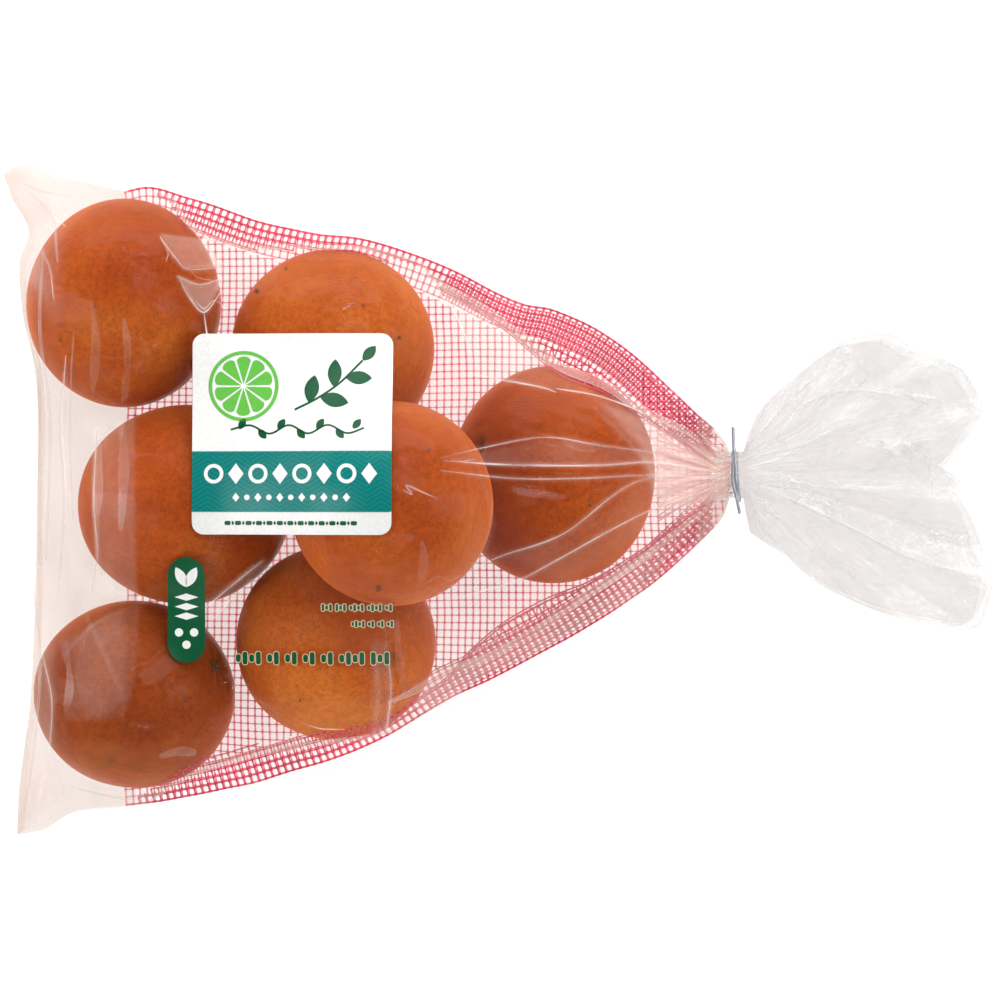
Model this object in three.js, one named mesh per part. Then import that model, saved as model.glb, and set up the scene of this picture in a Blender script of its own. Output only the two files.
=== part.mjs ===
// A bag of seven navel oranges, lying on its back. The front is clear film and the back is coarse mesh, both
// drawn tight over the fruit. The mouth is gathered into a neck, closed with a twist of wire, and the film
// beyond the wire fans out into two loose lobes. The filled bag is one closed solid with the outer shape that
// film and mesh take. Millimetres. +Z is up, +X points from the sealed bottom of the bag to its tied mouth,
// and z = 0 is the table.
import * as THREE from "three";

// Grid of the bag's skin: columns run from the sealed bottom to the rim of the loose film, rows from side
// to side
const BODY_COLUMNS = 40;
const NECK_COLUMNS = 2;
const FAN_COLUMNS = 9;
const ROWS = 34;

// Skin
const SKIN = 0.5; // mesh or film between the fruit and the outside
const EDGE_HALF = 0.8; // half the thickness of the two layers where they meet
const TOP_SAG = 0.16; // how much the film between the fruit gives way at each point
const FLOOR_SAG = 3; // how far the mesh between the fruit hangs down, until the table stops it
const SAG_START = 4; // grid columns from the sealed bottom over which that sag grows to its full amount
const SAG_END = 8; // grid columns before the neck over which it fades out

// The fruit, each a slightly uneven ellipsoid: centre, half width along X, Y and Z. Six lie on the table.
const STACKED_HEIGHT = 84.5; // centre of the one orange that lies on three others
const FRUIT = [
  { x: -135.6, y: 70.8, rx: 35.4, ry: 38.0, rz: 36.6 },
  { x: -60.1, y: 54.0, rx: 37.0, ry: 37.0, rz: 36.8 },
  { x: -113.6, y: -1.6, rx: 39.0, ry: 36.4, rz: 37.0 },
  { x: -38.5, y: -1.2, rx: 36.6, ry: 36.8, rz: 36.6, z: STACKED_HEIGHT },
  { x: 19.2, y: 9.2, rx: 37.2, ry: 39.6, rz: 36.8 },
  { x: -131.6, y: -70.0, rx: 36.6, ry: 34.2, rz: 35.0 },
  { x: -59.2, y: -51.2, rx: 36.4, ry: 35.6, rz: 36.0 },
].map((f) => ({ ...f, z: f.z ?? f.rz + SKIN }));

// The neck, a bundle of gathered film with an oval section, on an axis along X
const NECK = { x: 85.6, y: 9.1, z: 22, halfLength: 2.6, halfWidth: 8.4, halfHeight: 7 };
const NECK_LEFT = NECK.x - NECK.halfLength;
const NECK_RIGHT = NECK.x + NECK.halfLength;

// Outline of the filled body seen from above, with the height of its edge, in three stretches
const FAR_SIDE = [
  [-180.3, 118.2, 12],
  [-175.4, 121.2, 13],
  [-169.5, 121.8, 15],
  [-160.4, 116.4, 20],
  [-154.6, 115.8, 24],
  [-136.8, 111.9, 32],
  [-127.1, 112.9, 34],
  [-111.9, 109.3, 34],
  [-86.2, 100.6, 35],
  [-67.3, 96.4, 37],
  [-49.2, 94.1, 36],
  [-23.9, 86.2, 33],
  [8.0, 71.3, 31],
  [19.5, 68.8, 31],
  [43.1, 56.8, 30],
  [65.9, 36.2, 26],
  [80.6, 22.4, 23],
  [NECK_LEFT, NECK.y + NECK.halfWidth, NECK.z],
];
const NEAR_SIDE = [
  [-175.4, -121.6, 11],
  [-165.4, -119.5, 12],
  [-154.9, -113.3, 16],
  [-131.0, -110.0, 28],
  [-106.2, -106.2, 32],
  [-76.4, -98.6, 34],
  [-47.1, -88.3, 36],
  [-21.4, -73.8, 32],
  [7.8, -59.4, 31],
  [36.2, -43.4, 30],
  [54.3, -31.1, 27],
  [68.5, -18.6, 25],
  [80.4, -6.4, 23],
  [NECK_LEFT, NECK.y - NECK.halfWidth, NECK.z],
];
const SEALED_END = [
  [-175.4, -121.6, 11],
  [-174.6, -107.0, 14],
  [-171.6, -86.0, 22],
  [-170.2, -77.8, 26],
  [-168.4, -53.9, 30],
  [-167.4, -5.8, 26],
  [-167.4, 43.4, 30],
  [-172.2, 68.0, 32],
  [-173.4, 86.5, 27],
  [-170.4, 97.0, 22],
  [-176.8, 109.3, 15],
  [-180.3, 118.2, 12],
];

// Folds of the body that run to the neck, and the distance over which they smooth out just before it
const GATHER = { reach: 80, folds: 9, height: 1.4, smoothEnd: 20 };

// Loose film beyond the wire: reach from the neck's end at each bearing, in degrees from +X
const FAN_RIM = [
  [-83, 18.5],
  [-62.9, 32],
  [-55.7, 47],
  [-48.8, 61.4],
  [-43.1, 76.6],
  [-37.4, 91.5],
  [-34.6, 100.2],
  [-31.9, 103.1],
  [-22.1, 99.4],
  [-16.9, 92.6],
  [-9.8, 84.9],
  [-4.4, 78.2],
  [-1.2, 80.5],
  [2.7, 73],
  [9, 81.6],
  [15.8, 92.7],
  [25.1, 90.3],
  [36.2, 79.3],
  [44.1, 74.4],
  [53.1, 61.7],
  [62.2, 39.8],
  [76.7, 21.9],
];
const FAN_NOTCH = 3; // bearing of the gap between the two lobes
const FAN_PLEATS = 9; // folds across the whole fan
const PLEAT_SLOPE = 0.05; // height of a pleat for each millimetre from the neck
const LOBE_HALF = 3.6; // half the thickness of a lobe, two loose layers of film
const FAN_DROP = 60; // distance over which the fan comes down from the neck to the table
const FAN_SPREAD = 28; // distance over which the bundle opens to bearings from one point
const FAN_LIFT = 0.1; // least height of the film above the table

// Wire twist: wound a little over one turn round the neck, its two ends standing off to the sides
const WIRE_RADIUS = 0.55;
const WIRE_CLEARANCE = 0.4;
const WIRE_START = [
  [84.2, 26.2, 29.2],
  [84.4, 19, 30.2],
];
const WIRE_END = [
  [85.6, 0, 29.6],
  [86.6, -4.8, 28.2],
];
const WIRE_TURN = { first: 0.42 * Math.PI, last: 2.58 * Math.PI };
// The turn crosses over itself: along X it goes from the first place to the second, then back to the third
const WIRE_CROSSING = { from: 85, over: 86.8, back: 84.1, overAt: 0.27, backAt: 0.94 };
const WIRE_TURN_STEPS = 14;
const WIRE_STEPS = 60;
const WIRE_SIDES = 8;

const { lerp, degToRad, smoothstep } = THREE.MathUtils;

const curveThrough = (points) =>
  new THREE.CatmullRomCurve3(points.map((p) => new THREE.Vector3(...p)), false, "centripetal");
const farSide = curveThrough(FAR_SIDE);
const nearSide = curveThrough(NEAR_SIDE);
const sealedEnd = curveThrough(SEALED_END);

// Oval section of the neck: width and height at a fraction across it
function neckSection(across) {
  const turn = Math.PI * (across - 0.5);
  const half = Math.max(EDGE_HALF, NECK.halfHeight * Math.cos(turn));
  return { y: NECK.y + NECK.halfWidth * Math.sin(turn), half };
}

// A point of the body's plan between its four edges, at fractions along and across, with the height of the
// edges
function bodyPlan(along, across) {
  const near = nearSide.getPointAt(along);
  const far = farSide.getPointAt(along);
  const start = sealedEnd.getPointAt(across);
  const end = new THREE.Vector3(NECK_LEFT, neckSection(across).y, NECK.z);
  const sides = near.clone().lerp(far, across);
  const ends = start.clone().lerp(end, along);
  const corners = sealedEnd.getPointAt(0).lerp(nearSide.getPointAt(1), along);
  corners.lerp(sealedEnd.getPointAt(1).lerp(farSide.getPointAt(1), along), across);
  return sides.add(ends).sub(corners);
}

// Height of the highest (side 1) or lowest (side -1) fruit surface over a point, or null where there is no
// fruit
function fruitSurface(x, y, side) {
  let found = null;
  for (const f of FRUIT) {
    const inside = 1 - ((x - f.x) / f.rx) ** 2 - ((y - f.y) / f.ry) ** 2;
    if (inside <= 0) continue;
    const z = f.z + side * (f.rz * Math.sqrt(inside) + SKIN);
    if (found === null || side * (z - found) > 0) found = z;
  }
  return found;
}

const plan = [];
for (let i = 0; i <= BODY_COLUMNS; i++) {
  plan.push([]);
  for (let j = 0; j <= ROWS; j++) plan[i].push(bodyPlan(i / BODY_COLUMNS, j / ROWS));
}

// A sheet pulled tight between the edges, over (side 1) or under (side -1) the fruit: each point settles at
// the mean of its neighbours, the near ones counting most, unless the fruit holds it off.
function stretch(side) {
  const heights = plan.map((line) => line.map((p) => p.z + side * EDGE_HALF));
  heights[BODY_COLUMNS] = plan[BODY_COLUMNS].map((p, j) => NECK.z + side * neckSection(j / ROWS).half);
  const free = [];
  for (let i = 1; i < BODY_COLUMNS; i++)
    for (let j = 1; j < ROWS; j++) {
      const here = plan[i][j];
      const around = [[i - 1, j], [i + 1, j], [i, j - 1], [i, j + 1]].map(([a, b]) => {
        const other = plan[a][b];
        return { a, b, weight: 1 / ((other.x - here.x) ** 2 + (other.y - here.y) ** 2) };
      });
      const total = around.reduce((sum, n) => sum + n.weight, 0);
      free.push({ i, j, around, total, limit: fruitSurface(here.x, here.y, side) });
    }
  const PASSES = 500;
  const HURRY = 1.5; // how far a point steps past the mean, which settles the sheet sooner
  const sag = side > 0 ? TOP_SAG : 0;
  for (let pass = 0; pass < PASSES; pass++)
    for (const { i, j, around, total, limit } of free) {
      const mean = around.reduce((sum, n) => sum + n.weight * heights[n.a][n.b], 0) / total - sag;
      const next = heights[i][j] + HURRY * (mean - heights[i][j]);
      heights[i][j] = limit === null ? next : side * Math.max(side * next, side * limit);
    }
  return heights;
}

// Soft folds that converge on the neck, highest close to it
function gatherFold(x, y, across) {
  const near = smoothstep(1 - Math.hypot(NECK_LEFT - x, y - NECK.y) / GATHER.reach, 0, 1);
  const start = smoothstep(NECK_LEFT - x, 0, GATHER.smoothEnd);
  return GATHER.height * near * start * Math.sin(2 * Math.PI * GATHER.folds * across);
}

const over = stretch(1);
const under = stretch(-1);

function bodyPoint(i, j, upper) {
  const { x, y } = plan[i][j];
  if (upper) return [x, y, over[i][j] + gatherFold(x, y, j / ROWS)];
  return [x, y, Math.max(0, under[i][j] - FLOOR_SAG * sagShare(i, j))];
}

// The sag under the fruit, none at the edges
function sagShare(i, j) {
  const along = smoothstep(i, 0, SAG_START) * smoothstep(BODY_COLUMNS - i, 0, SAG_END);
  return Math.sqrt(Math.sin((Math.PI * j) / ROWS)) * along;
}

function rimReach(bearing) {
  const k = FAN_RIM.findIndex(([angle]) => angle >= bearing);
  if (k <= 0) return FAN_RIM[0][1];
  const [[a, ra], [b, rb]] = [FAN_RIM[k - 1], FAN_RIM[k]];
  return lerp(ra, rb, (bearing - a) / (b - a));
}

// The loose film: two lobes pleated from the neck outwards, coming down to the table
function fanPoint(out, across, upper) {
  const { y, half } = neckSection(across);
  const [first, last] = [FAN_RIM[0][0], FAN_RIM[FAN_RIM.length - 1][0]];
  const bearing = lerp(first, last, across);
  const reach = out * rimReach(bearing);
  const outer = bearing < FAN_NOTCH ? first : last;
  const lobe = (bearing - outer) / (FAN_NOTCH - outer);
  const loose = smoothstep(reach, 0, FAN_DROP);
  const fullness = Math.sqrt(Math.max(0, Math.sin(Math.PI * lobe)));
  const opened = smoothstep(reach, 0, FAN_DROP / 2);
  const thickness = Math.max(EDGE_HALF, lerp(half, LOBE_HALF * fullness, opened));
  const pleat = PLEAT_SLOPE * reach * Math.sin(2 * Math.PI * FAN_PLEATS * across);
  const resting = LOBE_HALF + PLEAT_SLOPE * reach;
  const z = lerp(NECK.z, resting, loose) + pleat + (upper ? thickness : -thickness);
  const angle = degToRad(bearing);
  const spread = smoothstep(reach, 0, FAN_SPREAD);
  return [
    NECK_RIGHT + reach * Math.cos(angle),
    lerp(y, NECK.y, spread) + reach * Math.sin(angle),
    Math.max(FAN_LIFT, z),
  ];
}

function neckPoint(x, across, upper) {
  const { y, half } = neckSection(across);
  return [x, y, NECK.z + (upper ? half : -half)];
}

// The skin's point at a column and row, on the upper or the lower face
function skinPoint(i, j, upper) {
  if (i < BODY_COLUMNS) return bodyPoint(i, j, upper);
  const pastBody = i - BODY_COLUMNS;
  if (pastBody <= NECK_COLUMNS) {
    const x = lerp(NECK_LEFT, NECK_RIGHT, pastBody / NECK_COLUMNS);
    return neckPoint(x, j / ROWS, upper);
  }
  return fanPoint((pastBody - NECK_COLUMNS) / FAN_COLUMNS, j / ROWS, upper);
}

// A closed mesh from a grid of columns by rows, with an upper and a lower face that meet round the rim
function closedSkin(columns, rows, place) {
  const points = [];
  for (const upper of [false, true])
    for (let i = 0; i <= columns; i++)
      for (let j = 0; j <= rows; j++) points.push(...place(i, j, upper));
  const at = (i, j, upper) => (upper ? (columns + 1) * (rows + 1) : 0) + i * (rows + 1) + j;
  const faces = [];
  const quad = (a, b, c, d) => faces.push(a, b, c, a, c, d);
  for (let i = 0; i < columns; i++)
    for (let j = 0; j < rows; j++) {
      quad(at(i, j, true), at(i + 1, j, true), at(i + 1, j + 1, true), at(i, j + 1, true));
      quad(at(i + 1, j, false), at(i, j, false), at(i, j + 1, false), at(i + 1, j + 1, false));
    }
  for (let i = 0; i < columns; i++) {
    quad(at(i, 0, false), at(i + 1, 0, false), at(i + 1, 0, true), at(i, 0, true));
    quad(at(i + 1, rows, false), at(i, rows, false), at(i, rows, true), at(i + 1, rows, true));
  }
  for (let j = 0; j < rows; j++) {
    quad(at(0, j + 1, false), at(0, j, false), at(0, j, true), at(0, j + 1, true));
    quad(at(columns, j, false), at(columns, j + 1, false), at(columns, j + 1, true), at(columns, j, true));
  }
  const geometry = new THREE.BufferGeometry();
  geometry.setAttribute("position", new THREE.Float32BufferAttribute(points, 3));
  geometry.setIndex(faces);
  geometry.computeVertexNormals();
  return geometry;
}

// Centre line of the wire: free end, over the neck, round under it, over it once more, free end
function wirePath() {
  const stand = WIRE_CLEARANCE + WIRE_RADIUS;
  const { from, over: farthest, back, overAt, backAt } = WIRE_CROSSING;
  const loop = [];
  for (let k = 0; k <= WIRE_TURN_STEPS; k++) {
    const t = k / WIRE_TURN_STEPS;
    const turn = lerp(WIRE_TURN.first, WIRE_TURN.last, t);
    const going = lerp(from, farthest, smoothstep(t, 0, overAt));
    const x = going + (back - farthest) * smoothstep(t, overAt, backAt);
    const y = NECK.y + (NECK.halfWidth + stand) * Math.cos(turn);
    const z = NECK.z + (NECK.halfHeight + stand) * Math.sin(turn);
    loop.push([x, y, z]);
  }
  return curveThrough([...WIRE_START, ...loop, ...WIRE_END]);
}

function wire() {
  const section = new THREE.Shape();
  for (let k = 0; k < WIRE_SIDES; k++) {
    const angle = (2 * Math.PI * k) / WIRE_SIDES;
    section[k ? "lineTo" : "moveTo"](WIRE_RADIUS * Math.cos(angle), WIRE_RADIUS * Math.sin(angle));
  }
  section.closePath();
  const sweep = { steps: WIRE_STEPS, extrudePath: wirePath(), bevelEnabled: false };
  return new THREE.ExtrudeGeometry(section, sweep);
}

const FINISH = {
  filledBag: new THREE.MeshStandardMaterial({ color: 0xc8602c, roughness: 0.3, metalness: 0 }),
  wire: new THREE.MeshStandardMaterial({ color: 0xa8b0b6, roughness: 0.35, metalness: 1 }),
};

function named(name, geometry, finish) {
  const mesh = new THREE.Mesh(geometry, finish);
  mesh.name = name;
  return mesh;
}

const columns = BODY_COLUMNS + NECK_COLUMNS + FAN_COLUMNS;
const group = new THREE.Group();
group.add(named("bag", closedSkin(columns, ROWS, skinPoint), FINISH.filledBag));
group.add(named("wire_tie", wire(), FINISH.wire));

export default group;
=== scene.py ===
# %% [markdown]
# # A net bag of oranges
#
# This is the bag that grocers sell three pounds of oranges in. Its back is a coarse knitted net, which lets the
# fruit breathe, and its front is clear film, which carries the print. It lies on its back, so the camera looks
# straight down on the film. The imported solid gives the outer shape, and everything below is modelled inside it:
# seven separate oranges, the film drawn tight over them, the net underneath and round both sides, the printed
# panels, the gathered neck, the wire round it, and the loose film beyond.
#
# First comes the shape that film and net take over the fruit, then each piece cut from that shape, and then
# finishes, light and camera.

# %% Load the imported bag
import math

import bmesh
import bpy
import numpy as np
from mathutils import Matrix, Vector
from mathutils.bvhtree import BVHTree


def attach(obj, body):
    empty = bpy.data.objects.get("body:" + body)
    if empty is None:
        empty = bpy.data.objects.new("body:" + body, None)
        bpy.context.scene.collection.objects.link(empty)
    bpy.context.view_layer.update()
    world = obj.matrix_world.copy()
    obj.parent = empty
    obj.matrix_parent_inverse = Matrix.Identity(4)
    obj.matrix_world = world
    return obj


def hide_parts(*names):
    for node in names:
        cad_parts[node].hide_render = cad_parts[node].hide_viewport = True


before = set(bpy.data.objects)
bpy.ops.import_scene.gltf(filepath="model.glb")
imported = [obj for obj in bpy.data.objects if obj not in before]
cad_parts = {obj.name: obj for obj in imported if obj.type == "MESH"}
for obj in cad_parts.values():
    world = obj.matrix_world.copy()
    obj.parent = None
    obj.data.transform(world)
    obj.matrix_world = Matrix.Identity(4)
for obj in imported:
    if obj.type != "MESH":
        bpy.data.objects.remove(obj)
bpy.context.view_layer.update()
MM = 0.001
print("packed solids:", [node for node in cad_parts])

# %% [markdown]
# ## Sizes
#
# All sizes are in millimetres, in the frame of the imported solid: +X runs from the sealed bottom of the bag to its
# tied mouth, +Z points out of the film and z = 0 is the table. Each orange is an ellipsoid given by its centre and
# its three half widths. Six lie on the table and one lies on the others.

# %% Fruit, neck and outline
NET_UNDER_FRUIT = 0.5
STACKED_HEIGHT = 84.5  # middle of the orange that lies on the others
FRUIT = [
    dict(x=-135.6, y=70.8, rx=35.4, ry=38.0, rz=36.6),
    dict(x=-60.1, y=54.0, rx=37.0, ry=37.0, rz=36.8),
    dict(x=-113.6, y=-1.6, rx=39.0, ry=36.4, rz=37.0),
    dict(x=-38.5, y=-1.2, rx=36.6, ry=36.8, rz=36.6, z=STACKED_HEIGHT),
    dict(x=19.2, y=9.2, rx=37.2, ry=39.6, rz=36.8),
    dict(x=-131.6, y=-70.0, rx=36.6, ry=34.2, rz=35.0),
    dict(x=-59.2, y=-51.2, rx=36.4, ry=35.6, rz=36.0),
]
for orange in FRUIT:
    orange.setdefault("z", orange["rz"] + NET_UNDER_FRUIT)

NECK_X, NECK_Y, NECK_Z = 85.6, 9.1, 22.0
NECK_HALF_LENGTH, NECK_HALF_WIDTH, NECK_HALF_HEIGHT = 2.6, 8.4, 7.0
NECK_LEFT = NECK_X - NECK_HALF_LENGTH
NECK_RIGHT = NECK_X + NECK_HALF_LENGTH
EDGE_HALF = 0.8  # half the distance of the two sheets at the edge of the bag

# Outline seen from above with the height of its edge: the long side away from the viewer, the near one, the bottom
FAR_SIDE = [
    (-180.3, 118.2, 12), (-175.4, 121.2, 13), (-169.5, 121.8, 15), (-160.4, 116.4, 20), (-154.6, 115.8, 24),
    (-136.8, 111.9, 32), (-127.1, 112.9, 34), (-111.9, 109.3, 34), (-86.2, 100.6, 35), (-67.3, 96.4, 37),
    (-49.2, 94.1, 36), (-23.9, 86.2, 33), (8.0, 71.3, 31), (19.5, 68.8, 31), (43.1, 56.8, 30),
    (65.9, 36.2, 26), (80.6, 22.4, 23), (NECK_LEFT, NECK_Y + NECK_HALF_WIDTH, NECK_Z),
]
NEAR_SIDE = [
    (-175.4, -121.6, 11), (-165.4, -119.5, 12), (-154.9, -113.3, 16), (-131.0, -110.0, 28), (-106.2, -106.2, 32),
    (-76.4, -98.6, 34), (-47.1, -88.3, 36), (-21.4, -73.8, 32), (7.8, -59.4, 31), (36.2, -43.4, 30),
    (54.3, -31.1, 27), (68.5, -18.6, 25), (80.4, -6.4, 23), (NECK_LEFT, NECK_Y - NECK_HALF_WIDTH, NECK_Z),
]
SEALED_END = [
    (-175.4, -121.6, 11), (-174.6, -107.0, 14), (-171.6, -86.0, 22), (-170.2, -77.8, 26), (-168.4, -53.9, 30),
    (-167.4, -5.8, 26), (-167.4, 43.4, 30), (-172.2, 68.0, 32), (-173.4, 86.5, 27), (-170.4, 97.0, 22),
    (-176.8, 109.3, 15), (-180.3, 118.2, 12),
]


def curve_through(points, count):
    """Evenly spaced points on a smooth curve (centripetal Catmull-Rom) through the given ones."""
    p = np.array(points, float)
    p = np.vstack([2 * p[0] - p[1], p, 2 * p[-1] - p[-2]])
    fine = []
    for a, b, c, d in zip(p, p[1:], p[2:], p[3:]):
        ab, bc, cd = (max(1e-6, np.linalg.norm(v)) ** 0.5 for v in (b - a, c - b, d - c))
        leave = ((b - a) / ab - (c - a) / (ab + bc) + (c - b) / bc) * bc
        arrive = ((c - b) / bc - (d - b) / (bc + cd) + (d - c) / cd) * bc
        t = np.linspace(0, 1, 24, endpoint=False)[:, None]
        basis = (2 * t**3 - 3 * t**2 + 1, t**3 - 2 * t**2 + t, -2 * t**3 + 3 * t**2, t**3 - t**2)
        fine.append(basis[0] * b + basis[1] * leave + basis[2] * c + basis[3] * arrive)
    fine = np.vstack(fine + [p[-2:-1]])
    length = np.concatenate([[0], np.cumsum(np.linalg.norm(np.diff(fine, axis=0), axis=1))])
    even = np.linspace(0, length[-1], count)
    return np.stack([np.interp(even, length, fine[:, k]) for k in range(p.shape[1])], axis=1)


def directions(line):
    """Direction of a line at each of its points."""
    run = np.gradient(line, axis=0)
    return run / np.linalg.norm(run, axis=1)[:, None]


def smooth_step(value, low=0.0, high=1.0):
    t = np.clip((value - low) / (high - low), 0, 1)
    return t * t * (3 - 2 * t)


print("longest orange:", max(2 * o["rx"] for o in FRUIT), "mm across")

# %% [markdown]
# ## The drape
#
# A pulled sheet takes the shape of a soap film: every point settles at the mean height of its neighbours, unless an
# orange holds it off. A cloth simulation would get there too, but it also slides, wrinkles at random and needs a
# minute. Relaxing heights on a grid is exact, repeatable and takes seconds. The grid follows the bag's outline, so
# that its edges stay smooth, and the sheet is relaxed coarse first and then fine, each from the one before.

# %% Relax the film over the fruit and the net under it
OVER_GAP = 0.4  # film to peel
TOP_SAG_SHARE = 0.16 * 6.2**-2  # slack of the film per square millimetre of grid cell
FLOOR_SAG = 3.0  # how far the net hangs down between the fruit, where the table lets it
DRAPE_GRIDS = ((40, 30), (80, 60), (160, 120))
PASSES = 900


def neck_section(across):
    """Place across and half height of the gathered neck, an oval."""
    turn = math.pi * (across - 0.5)
    return NECK_Y + NECK_HALF_WIDTH * np.sin(turn), np.maximum(EDGE_HALF, NECK_HALF_HEIGHT * np.cos(turn))


def body_plan(columns, rows, far=FAR_SIDE, near=NEAR_SIDE, start=SEALED_END, end=None):
    """Points between four edges, columns by rows, with the height that the edges have."""
    across = np.linspace(0, 1, rows)
    if end is None:
        y, half = neck_section(across)
        end = np.stack([np.full(rows, NECK_LEFT), y, np.full(rows, NECK_Z)], axis=1)
    far, near, start = curve_through(far, columns), curve_through(near, columns), curve_through(start, rows)
    u, v = np.linspace(0, 1, columns)[:, None, None], across[None, :, None]
    sides = near[:, None] * (1 - v) + far[:, None] * v
    ends = start[None] * (1 - u) + end[None] * u
    corners = (start[0] * (1 - v) + start[-1] * v) * (1 - u) + (near[-1] * (1 - v) + far[-1] * v) * u
    return sides + ends - corners


def fruit_surface(x, y, side, gap):
    """Highest (side 1) or lowest (side -1) fruit surface over each point, or minus infinity where there is none."""
    best = np.full(x.shape, -np.inf)
    for o in FRUIT:
        inside = 1 - ((x - o["x"]) / (o["rx"] + gap)) ** 2 - ((y - o["y"]) / (o["ry"] + gap)) ** 2
        z = o["z"] + side * (o["rz"] + gap) * np.sqrt(np.maximum(inside, 0))
        best = np.maximum(best, np.where(inside > 0, side * z, -np.inf))
    return best


def refine(heights, shape):
    """The same heights on a finer grid."""
    (m, n), (columns, rows) = heights.shape, shape
    lines = np.stack([np.interp(np.linspace(0, n - 1, rows), np.arange(n), line) for line in heights])
    return np.stack([np.interp(np.linspace(0, m - 1, columns), np.arange(m), c) for c in lines.T], axis=1)


def drape(side, sag, gap):
    """Plan and relaxed heights of the sheet over (side 1) or under (side -1) the fruit."""
    heights = None
    for shape in DRAPE_GRIDS:
        plan = body_plan(*shape)
        x, y, edge = plan[..., 0], plan[..., 1], plan[..., 2]
        settled = edge + side * EDGE_HALF
        settled[-1] = NECK_Z + side * neck_section(np.linspace(0, 1, shape[1]))[1]
        if heights is not None:
            finer = refine(heights, shape)
            settled[1:-1, 1:-1] = finer[1:-1, 1:-1]
        here = plan[1:-1, 1:-1, :2]
        around = [plan[2:, 1:-1, :2], plan[:-2, 1:-1, :2], plan[1:-1, 2:, :2], plan[1:-1, :-2, :2]]
        pull = [1 / ((other - here) ** 2).sum(-1) for other in around]
        total = sum(pull)
        limit = fruit_surface(x, y, side, gap)[1:-1, 1:-1]
        give = 4 * sag / total
        for _ in range(PASSES):
            mean = (
                pull[0] * settled[2:, 1:-1] + pull[1] * settled[:-2, 1:-1]
                + pull[2] * settled[1:-1, 2:] + pull[3] * settled[1:-1, :-2]
            ) / total - give
            settled[1:-1, 1:-1] = side * np.maximum(side * mean, limit)
        heights = settled
    return plan, heights


over_plan, over_heights = drape(1, TOP_SAG_SHARE, OVER_GAP)
under_plan, under_heights = drape(-1, 0.0, NET_UNDER_FRUIT)
across_share = np.sin(np.pi * np.linspace(0, 1, under_heights.shape[1]))[None] ** 0.5
along_share = np.linspace(0, 1, under_heights.shape[0])[:, None]
fall = FLOOR_SAG * across_share * smooth_step(along_share, 0, 0.1) * smooth_step(1 - along_share, 0, 0.2)
under_heights = np.maximum(0, under_heights - fall)
print("film top", round(float(over_heights.max()), 1), "mm, net bottom", float(under_heights.min()), "mm")

# %% [markdown]
# ## Height maps
#
# Film, print, seams and net all lie on the same two surfaces, but each has a grid of its own. So the surfaces are
# kept as two maps with one height for each millimetre of the table, which any piece can look up. Rays shot down on
# the draped grid fill the maps, and outside the bag they hold the height of the nearest edge.

# %% Turn the drape into two height maps
MAP_LOW = np.array([-184.0, -126.0])
MAP_HIGH = np.array([90.0, 126.0])
MAP_STEP = 1.0
ABOVE_ALL = 500.0


def grid_faces(columns, rows):
    corner = np.arange((columns - 1) * rows).reshape(columns - 1, rows)[:, :-1].ravel()
    return np.stack([corner, corner + rows, corner + rows + 1, corner + 1], axis=1)


outline = np.vstack([curve_through(side, 400) for side in (FAR_SIDE, NEAR_SIDE, SEALED_END)])


def height_map(plan, heights):
    columns, rows = heights.shape
    points = np.dstack([plan[..., :2], heights]).reshape(-1, 3)
    tree = BVHTree.FromPolygons(points.tolist(), grid_faces(columns, rows).tolist())
    xs = np.arange(MAP_LOW[0], MAP_HIGH[0] + MAP_STEP, MAP_STEP)
    ys = np.arange(MAP_LOW[1], MAP_HIGH[1] + MAP_STEP, MAP_STEP)
    down = Vector((0, 0, -1))
    found = np.full((len(xs), len(ys)), np.nan)
    for i, x in enumerate(xs):
        for j, y in enumerate(ys):
            hit = tree.ray_cast(Vector((x, y, ABOVE_ALL)), down)[0]
            if hit is not None:
                found[i, j] = hit.z
    missing = np.argwhere(np.isnan(found))
    for i, j in missing:
        nearest = ((outline[:, 0] - xs[i]) ** 2 + (outline[:, 1] - ys[j]) ** 2).argmin()
        found[i, j] = outline[nearest, 2]
    return found


def look_up(table, x, y):
    """Heights from a map between its points."""
    i = np.clip((np.asarray(x, float) - MAP_LOW[0]) / MAP_STEP, 0, table.shape[0] - 1.001)
    j = np.clip((np.asarray(y, float) - MAP_LOW[1]) / MAP_STEP, 0, table.shape[1] - 1.001)
    a, b = i.astype(int), j.astype(int)
    s, t = i - a, j - b
    low = table[a, b] * (1 - s) + table[a + 1, b] * s
    return low * (1 - t) + (table[a, b + 1] * (1 - s) + table[a + 1, b + 1] * s) * t


over_map = height_map(over_plan, over_heights)
under_map = height_map(under_plan, under_heights)
print("maps of", over_map.shape, "heights")

# %% [markdown]
# ## Places in the photograph
#
# Creases, veils and print are placed where the photograph shows them. The camera hangs three metres above the bag,
# so a pixel stands for 0.362 mm at the height of the seams and a little less on top of the fruit. One function turns
# a pixel into a place on the film and allows for that height.

# %% Turn a pixel of the photograph into a place on the film
PIXEL = 0.362
PHOTO_CENTRE = (500.0, 499.5)
SEAM_HEIGHT = 22.0
CAMERA_HEIGHT = 3000.0
NOISE_CELLS = 97
TINY = 1e-9


def from_photo(points):
    """Places in millimetres for pixels of the 1000 by 1000 photograph."""
    points = np.array(points, float)
    flat = (points - PHOTO_CENTRE) * (PIXEL, -PIXEL)
    placed = flat.copy()
    for _ in range(3):
        z = look_up(over_map, placed[:, 0], placed[:, 1])
        placed = flat * (1 - (z - SEAM_HEIGHT) / CAMERA_HEIGHT)[:, None]
    return placed


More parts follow.
